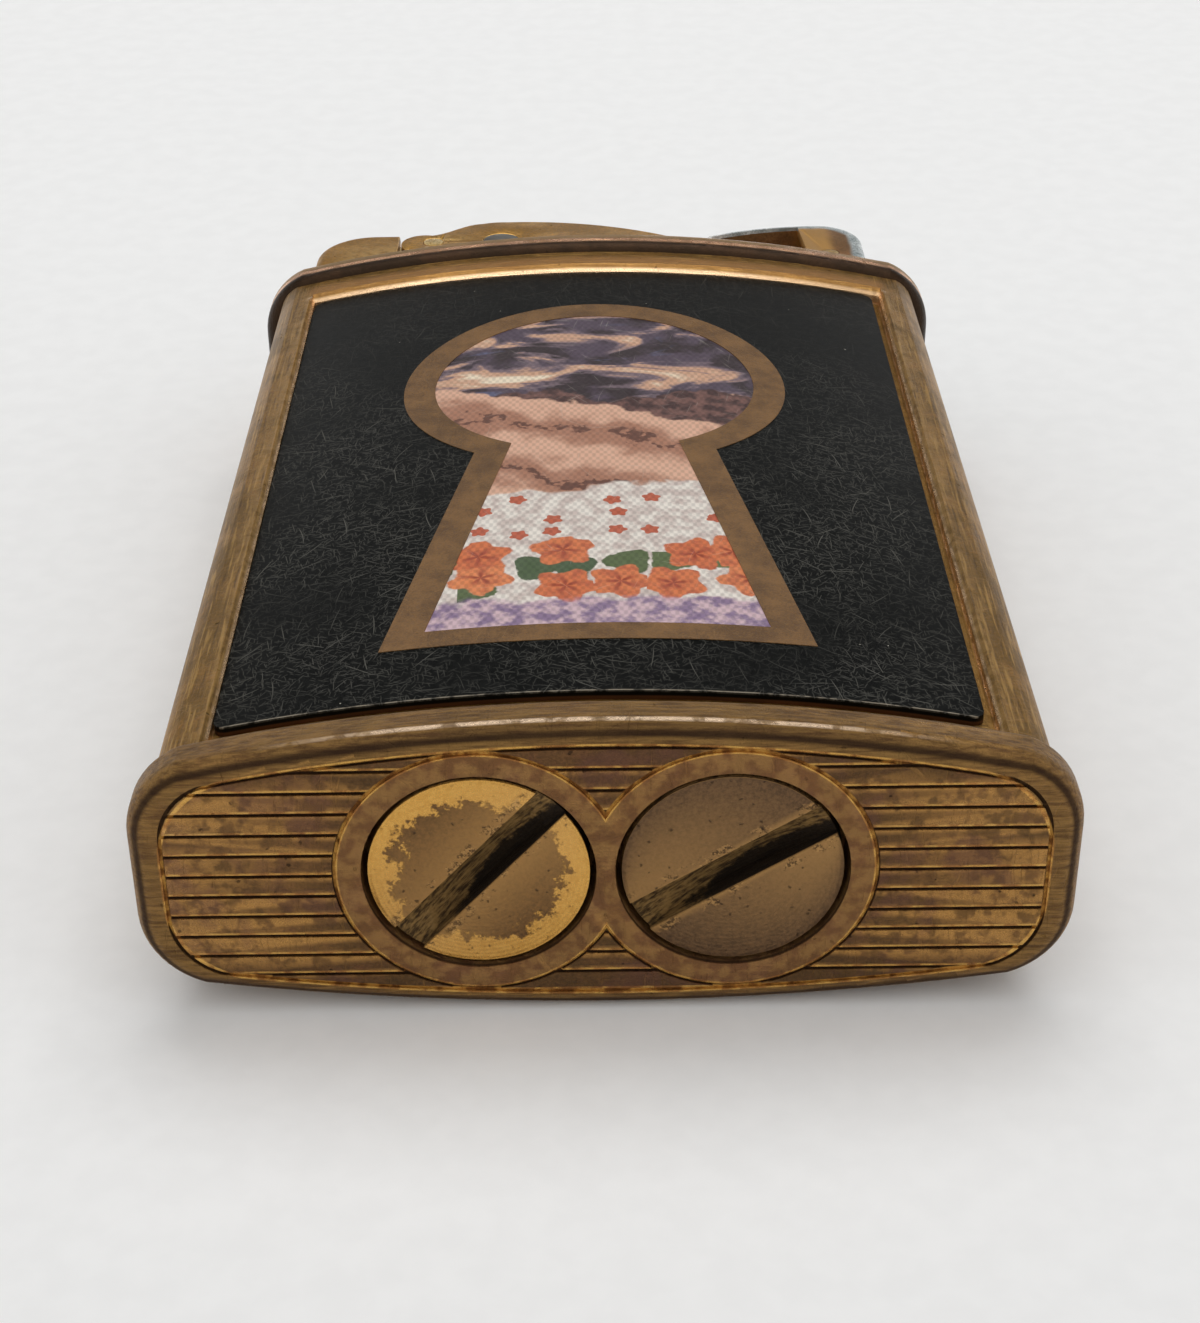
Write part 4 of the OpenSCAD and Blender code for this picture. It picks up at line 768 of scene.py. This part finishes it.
# %% Sky and land
def dusk_sky(tree, place, wobble):
    """Plum and indigo, with torn clouds lit cream and peach from below."""
    streak = vector(tree, "MULTIPLY", place, (0.4, 0.9, 1))
    cloud = noise(tree, streak, 0.42, 7.0, 0.55, Distortion=0.8)
    return paint(
        tree, between(tree, wobble, 0.42, 0.58, srgb(52, 38, 42), srgb(84, 70, 84)),
        (ramp(tree, cloud, 0.51, 0.56), srgb(122, 104, 112)),
        (ramp(tree, cloud, 0.55, 0.6), srgb(206, 162, 134)),
        (ramp(tree, cloud, 0.61, 0.68), srgb(238, 222, 196)),
        (ramp(tree, cloud, 0.4, 0.33, 0.0, 0.8), srgb(96, 102, 134)))


def hills_and_fields(tree, colour, x, y, wobble, fine):
    """Far hills, dark against the sky, and near fields in the last light, with brown hedges."""
    ridge = plus(tree, y, times(tree, maths(tree, "SINE", plus(tree, times(tree, x, 0.7), 1.0)), 0.9))
    far = ramp(tree, plus(tree, ridge, times(tree, fine, 1.2)), 2.2, 1.9)
    hills = between(tree, fine, 0.4, 0.6, srgb(74, 50, 48), srgb(120, 84, 76))
    slope = plus(tree, y, times(tree, x, 0.34))
    light = maths(tree, "SINE", plus(tree, times(tree, slope, 1.25), times(tree, wobble, 3.0)))
    fields = between(tree, light, -0.8, 0.9, srgb(172, 122, 98), srgb(222, 176, 150))
    hedge = times(tree, ramp(tree, light, -0.9, -0.98, 0.0, 0.9), ramp(tree, fine, 0.44, 0.5))
    fields = paint(tree, fields, (hedge, srgb(96, 58, 46)))
    return paint(tree, colour, (far, hills), (ramp(tree, slope, 0.4, 0.1), fields))


def flower_bank(tree, colour, place, x, y, fine):
    """A cream bank with small blossoms, big orange blooms on green leaves, and a lilac foot."""
    cream = between(tree, fine, 0.38, 0.62, srgb(206, 190, 182), srgb(234, 226, 216))
    small, _, _, small_y = flowers(tree, place, 0.7, 0.27, 0.35, 8.1)
    leaf, leaf_shade, _, leaf_y = flowers(tree, place, 0.5, 0.5, 0.8, 3.7, 3.0)
    greens = blend(tree, leaf_shade, srgb(48, 78, 62), srgb(104, 116, 70))
    bloom, bloom_shade, middle, bloom_y = flowers(tree, place, 0.36, 0.47, 1.0, 0.6)
    oranges = paint(
        tree, blend(tree, bloom_shade, srgb(206, 104, 62), srgb(232, 146, 94)),
        (ramp(tree, fine, 0.46, 0.62, 0.0, 0.5), srgb(168, 72, 46)), (middle, srgb(150, 56, 40), 0.8))
    lilac = between(tree, fine, 0.4, 0.6, srgb(126, 100, 142), srgb(204, 170, 182))
    return paint(
        tree, colour, (ramp(tree, plus(tree, y, times(tree, x, -0.12)), -7.6, -8.0), cream),
        (times(tree, small, band(tree, small_y, -10.8, 2.2, 0.05)), srgb(190, 96, 68)),
        (times(tree, leaf, band(tree, leaf_y, -15.2, 2.0, 0.05)), greens),
        (times(tree, bloom, band(tree, bloom_y, -15.3, 1.9, 0.05)), oranges),
        (ramp(tree, y, -17.4, -17.9), lilac, 0.85))


print("sky and land ready")

# %% Garden picture
WEAVE_PITCH, WEAVE_SLANT = 0.34, 0.55


def half_tone(tree, x, y, fine):
    """The shade of a printed weave: two sets of slanted lines that cross."""
    loose, slanted = times(tree, fine, 5.0), times(tree, y, WEAVE_SLANT)
    waves = 2 * math.pi / WEAVE_PITCH
    one = maths(tree, "SINE", plus(tree, loose, times(tree, plus(tree, x, slanted), waves)))
    two = maths(tree, "SINE", minus(tree, times(tree, minus(tree, x, slanted), waves), loose))
    return ramp(tree, plus(tree, one, two), -1.4, 1.2, 0.82, 1.06)


def garden_picture():
    made, tree, shader, place = material("Garden picture")
    x, true_y, _ = split(tree, place)
    wobble, fine = noise(tree, place, 0.5, 5.0), noise(tree, place, 1.6, 5.0)
    y = plus(tree, true_y, times(tree, minus(tree, wobble, 0.5), 3.0))
    colour = dusk_sky(tree, place, wobble)
    colour = hills_and_fields(tree, colour, x, y, wobble, fine)
    colour = flower_bank(tree, colour, place, x, y, fine)
    weave = half_tone(tree, x, true_y, fine)
    scratched = use_group(tree, SCRATCHES, Vector=place, Scale=1.0, Threshold=0.68)["Mask"]
    colour = paint(tree, shaded(tree, colour, weave), (scratched, srgb(206, 198, 186), 0.25))
    finish_shader(tree, shader, colour, ramp(tree, fine, 0.3, 0.7, 0.34, 0.5), weave, 0.1)
    return made


GARDEN = garden_picture()
print("material", GARDEN.name)

# %% [markdown]
# ## Thumb lever
# The lever was chrome plated. The plating is left on its outer skin, with a painted highlight at the tip where
# the thumb lands; inside, and low on its sides, the brass has come through. The finish mixes the two by how
# deep a point lies inside the lever's outline as seen from the side.

# %% Chrome worn to brass
def under_crown(tree, x, height):
    """How far a point lies inside the lever's outline: a long curve on the left, a round end on the right."""
    off = minus(tree, x, CROWN_X)
    long_curve = minus(tree, LONG_R, length_2d(tree, off, minus(tree, height, CROWN_UP - LONG_R)))
    round_end = inside_corner(tree, END_R, minus(tree, END_R, off), minus(tree, CROWN_UP, height))
    right_side = maths(tree, "GREATER_THAN", off, 0.0)
    return plus(tree, times(tree, right_side, round_end), times(tree, minus(tree, 1.0, right_side), long_curve))


def worn_chrome():
    made, tree, shader, place = material("Worn chrome")
    tarnish = use_group(
        tree, TARNISH, Vector=place, Metal=srgb(196, 146, 96), Brown=srgb(142, 98, 62),
        Copper=srgb(172, 116, 82), Olive=srgb(120, 92, 56), Age=0.5)
    x, y, z = split(tree, place)
    torn = noise(tree, place, 0.9, 7.0, 0.7)
    inside = under_crown(tree, x, minus(tree, y, DECK_Y))
    below = plus(tree, inside, times(tree, minus(tree, torn, 0.5), 0.5))
    from_middle = maths(tree, "ABSOLUTE", minus(tree, z, HALF_THICK))
    outer_side = maths(tree, "GREATER_THAN", from_middle, LEVER_HALF - 0.2)
    chrome = highest(
        tree, ramp(tree, inside, 0.4, 0.3), times(tree, outer_side, ramp(tree, below, 0.95, 0.6)),
        ramp(tree, x, 7.2, 6.4))
    chrome_with_tip_highlight = between(tree, torn, 0.35, 0.65, srgb(150, 160, 160), srgb(214, 220, 220))
    # a painted highlight, nearly white, on the chrome at the lever's tip
    chrome_with_tip_highlight = paint(tree, chrome_with_tip_highlight, (ramp(tree, x, 7.9, 6.8), srgb(253, 253, 251)))
    colour = paint(
        tree, tarnish["Color"], (band(tree, x, 12.2, 0.9, 0.35), srgb(214, 164, 92), 0.7), (chrome, chrome_with_tip_highlight))
    rough = minus(tree, tarnish["Roughness"], times(tree, chrome, 0.16), clamp=True)
    finish_shader(tree, shader, colour, rough, tarnish["Height"], 0.2, ramp(tree, chrome, 0.0, 1.0, 0.7, 0.45))
    return made


WORN_CHROME = worn_chrome()
print("material", WORN_CHROME.name)

# %% [markdown]
# ## Finishing a CAD solid
# CAD edges are razor sharp, and a sharp edge catches no light. Each visible solid is copied, its doubled
# corners are merged, and a Bevel modifier rounds its edges. The modifier is then applied, and every corner
# in the middle of a rounded edge is marked in an attribute named wear, which the brass reads to shine there.

# %% True normals on the curved sheets
def curved_normals(mesh):
    """Points the corners of the curved front and back away from the axis of their curve.

    Averaged normals tilt towards the rounded edges and would draw ghosts of the CAD's triangles on the gloss.
    """
    front_axis = mm(HALF_THICK + SHELL_HALF_T - FACE_R)
    back_axis = mm(HALF_THICK - SHELL_HALF_T + BACK_R - FLANGE_FACE)
    normals = [Vector(corner.vector) for corner in mesh.corner_normals]
    for face in mesh.polygons:
        for axis, side in ((front_axis, 1), (back_axis, -1)):
            out = Vector((face.center.x, 0, face.center.z - axis)).normalized()
            if face.normal.dot(out) > math.cos(math.radians(5)) and out.z * side > 0:
                for corner in face.loop_indices:
                    point = mesh.vertices[mesh.loops[corner].vertex_index].co
                    normals[corner] = Vector((point.x, 0, point.z - axis)).normalized()
                break
    mesh.normals_split_custom_set(normals)


def mark_wear(mesh, bevel):
    """Writes the attribute wear: 1 on corners inside a rounded convex edge, 0 elsewhere."""
    work = bmesh.new()
    work.from_mesh(mesh)
    work.normal_update()
    values = [0.0] * len(work.verts)
    for corner in work.verts:
        small = [edge for edge in corner.link_edges if edge.calc_length() < mm(bevel) * 1.2]
        bends = [edge.calc_face_angle_signed(0) for edge in corner.link_edges if len(edge.link_faces) == 2]
        if bevel and len(small) >= 2 and bends and max(bends) > math.radians(9):
            values[corner.index] = 1.0
    work.free()
    layer = mesh.attributes.new("wear", "FLOAT", "POINT")
    layer.data.foreach_set("value", values)


print("mesh helpers ready")

# %% Copy, round and mark a solid
SHARP = math.radians(32)
CURVED = ("front_panel", "keyhole_border", "keyhole_picture", "case_shell")


def round_edges(piece, bevel):
    """The mesh of a piece with its sharp edges rounded by a Bevel modifier."""
    rounding = piece.modifiers.new("Edges", "BEVEL")
    rounding.width = mm(bevel)
    rounding.segments = 3
    rounding.limit_method = "ANGLE"
    rounding.angle_limit = SHARP
    rounding.miter_outer = "MITER_ARC"
    rounding.use_clamp_overlap = True
    rounding.harden_normals = True
    graph = bpy.context.evaluated_depsgraph_get()
    mesh = bpy.data.meshes.new_from_object(piece.evaluated_get(graph))
    piece.modifiers.clear()
    return mesh


def finished(node, finish, bevel):
    """A finished copy of a CAD node that stands for it and rides on its body."""
    mesh = NODES[node].data.copy()
    work = bmesh.new()
    work.from_mesh(mesh)
    bmesh.ops.remove_doubles(work, verts=work.verts, dist=mm(0.0005))
    bmesh.ops.dissolve_degenerate(work, edges=work.edges, dist=mm(0.0005))
    work.to_mesh(mesh)
    work.free()
    piece = bpy.data.objects.new(node + "_finished", mesh)
    bpy.context.scene.collection.objects.link(piece)
    mesh.materials.clear()
    mesh.materials.append(finish)
    mesh.shade_smooth()
    if bevel:
        mesh = piece.data = round_edges(piece, bevel)
    mark_wear(mesh, bevel)
    if not bevel:
        mesh.set_sharp_from_angle(angle=SHARP)
    if node in CURVED:
        curved_normals(mesh)
    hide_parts(node)
    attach(piece, BODY_OF[node])
    return piece


FINISHES = {
    "case_shell": (SHELL_BRASS, 0.09), "base_plate": (BASE_BRASS, 0.03), "top_plate": (RIM_BRASS, 0.05),
    "front_panel": (ENAMEL, 0.03), "keyhole_border": (GILT_BORDER, 0.0), "keyhole_picture": (GARDEN, 0.0),
    "flint_screw": (FLINT_SCREW_FINISH, 0.05), "fuel_screw": (FUEL_SCREW_FINISH, 0.05),
    "front_side_plate": (PLATE_BRASS, 0.06), "rear_side_plate": (PLATE_BRASS, 0.06),
    "wheel_axle": (STEEL, 0.08), "snuffer_rivets": (BRIGHT_BRASS, 0.08),
    "snuffer_cap": (PLATE_BRASS, 0.05), "snuffer_arm": (BRIGHT_BRASS, 0.04),
    "thumb_lever": (WORN_CHROME, 0.06), "press_arm": (STEEL, 0.05),
    "lever_pin": (BRIGHT_BRASS, 0.06), "lever_bracket": (PLATE_BRASS, 0.05),
    "drive_lever": (STEEL, 0.04), "flint_wheel": (STEEL, 0.02), "ratchet": (STEEL, 0.02),
    "wick_tube": (BRIGHT_BRASS, 0.05), "flint_tube": (BRIGHT_BRASS, 0.05),
}
for node, (finish, bevel) in FINISHES.items():
    piece = finished(node, finish, bevel)
    print(node, "finished with", len(piece.data.polygons), "faces")

# %% [markdown]
# ## Inner parts
# What stays inside keeps its CAD mesh and only gets its finish.

# %% Finishes of the inner parts
INNER = {
    "flint_bush": BRIGHT_BRASS, "filler_bush": BRIGHT_BRASS, "cotton_wadding": COTTON, "wick": COTTON,
    "fuel_washer": LEATHER, "flint_washer": LEATHER, "flint_spring": SPRING_STEEL,
    "flint_follower": BRIGHT_BRASS, "flint": FLINT_GREY, "pawl": STEEL, "pawl_pin": STEEL,
    "pawl_spring": SPRING_STEEL, "return_spring": SPRING_STEEL, "snuffer_pad": CORK,
    "bracket_rivet": BRIGHT_BRASS,
}
for node, finish in INNER.items():
    NODES[node].data.materials.clear()
    NODES[node].data.materials.append(finish)
print("inner parts", len(INNER), "of", len(NODES) - len(FINISHES))

# %% [markdown]
# ## Table and light
# The lighter lies on white paper. One broad soft lamp behind and above it gives the bright crests and throws
# the soft shadow towards the camera; the pale world fills in from all sides, and shows in the metal. Black
# gloss only looks black when it mirrors something dark, so the world has a dark patch behind the lighter,
# just where the panel mirrors it. Low down towards the camera it is a little darker too, for a deeper shadow.

# %% Paper floor
FLOOR_CORNERS = [(-2, -2, 0), (2, -2, 0), (2, 2, 0), (-2, 2, 0)]


def paper():
    made, tree, shader, place = material("White paper")
    fibre = noise(tree, place, 0.6, 8.0)
    colour = between(tree, fibre, 0.3, 0.7, srgb(246, 246, 246), srgb(249, 249, 249))
    finish_shader(tree, shader, colour, 0.9, fibre, 0.03)
    return made


floor_mesh = bpy.data.meshes.new("Paper")
floor_mesh.from_pydata(FLOOR_CORNERS, [], [(0, 1, 2, 3)])
floor_mesh.materials.append(paper())
floor = bpy.data.objects.new("Paper", floor_mesh)
bpy.context.scene.collection.objects.link(floor)
print("paper laid")

# %% Soft light
WINDOW_AT, WINDOW_SIZE, WINDOW_WATTS = mm(20, 190, 480), mm(460, 280, 0), 0.8

window = bpy.data.lights.new("Window", "AREA")
window.shape = "RECTANGLE"
window.size, window.size_y = WINDOW_SIZE.x, WINDOW_SIZE.y
window.energy = WINDOW_WATTS
lamp = bpy.data.objects.new("Window", window)
bpy.context.scene.collection.objects.link(lamp)
lamp.location = WINDOW_AT
lamp.rotation_euler = (mm(0, 0, 6) - WINDOW_AT).to_track_quat("-Z", "Y").to_euler()

world = bpy.data.worlds.new("Room")
bpy.context.scene.world = world
world.use_nodes = True
room = world.node_tree
_, along, height = split(room, add(room, "ShaderNodeTexCoord").outputs["Generated"])
dark_wall = times(
    room, ramp(room, along, 0.0, 0.4), ramp(room, height, 0.22, 0.34), ramp(room, height, 0.9, 0.62))
near_wall = times(room, ramp(room, along, -0.2, -0.7), ramp(room, height, 0.55, 0.2))
walls = paint(room, srgb(236, 236, 235), (near_wall, srgb(168, 167, 165)), (dark_wall, srgb(30, 30, 32)))
back = room.nodes["Background"]
room.links.new(walls, back.inputs["Color"])
back.inputs["Strength"].default_value = 1.0
bpy.context.scene.view_settings.view_transform = "Standard"
print("lights ready")
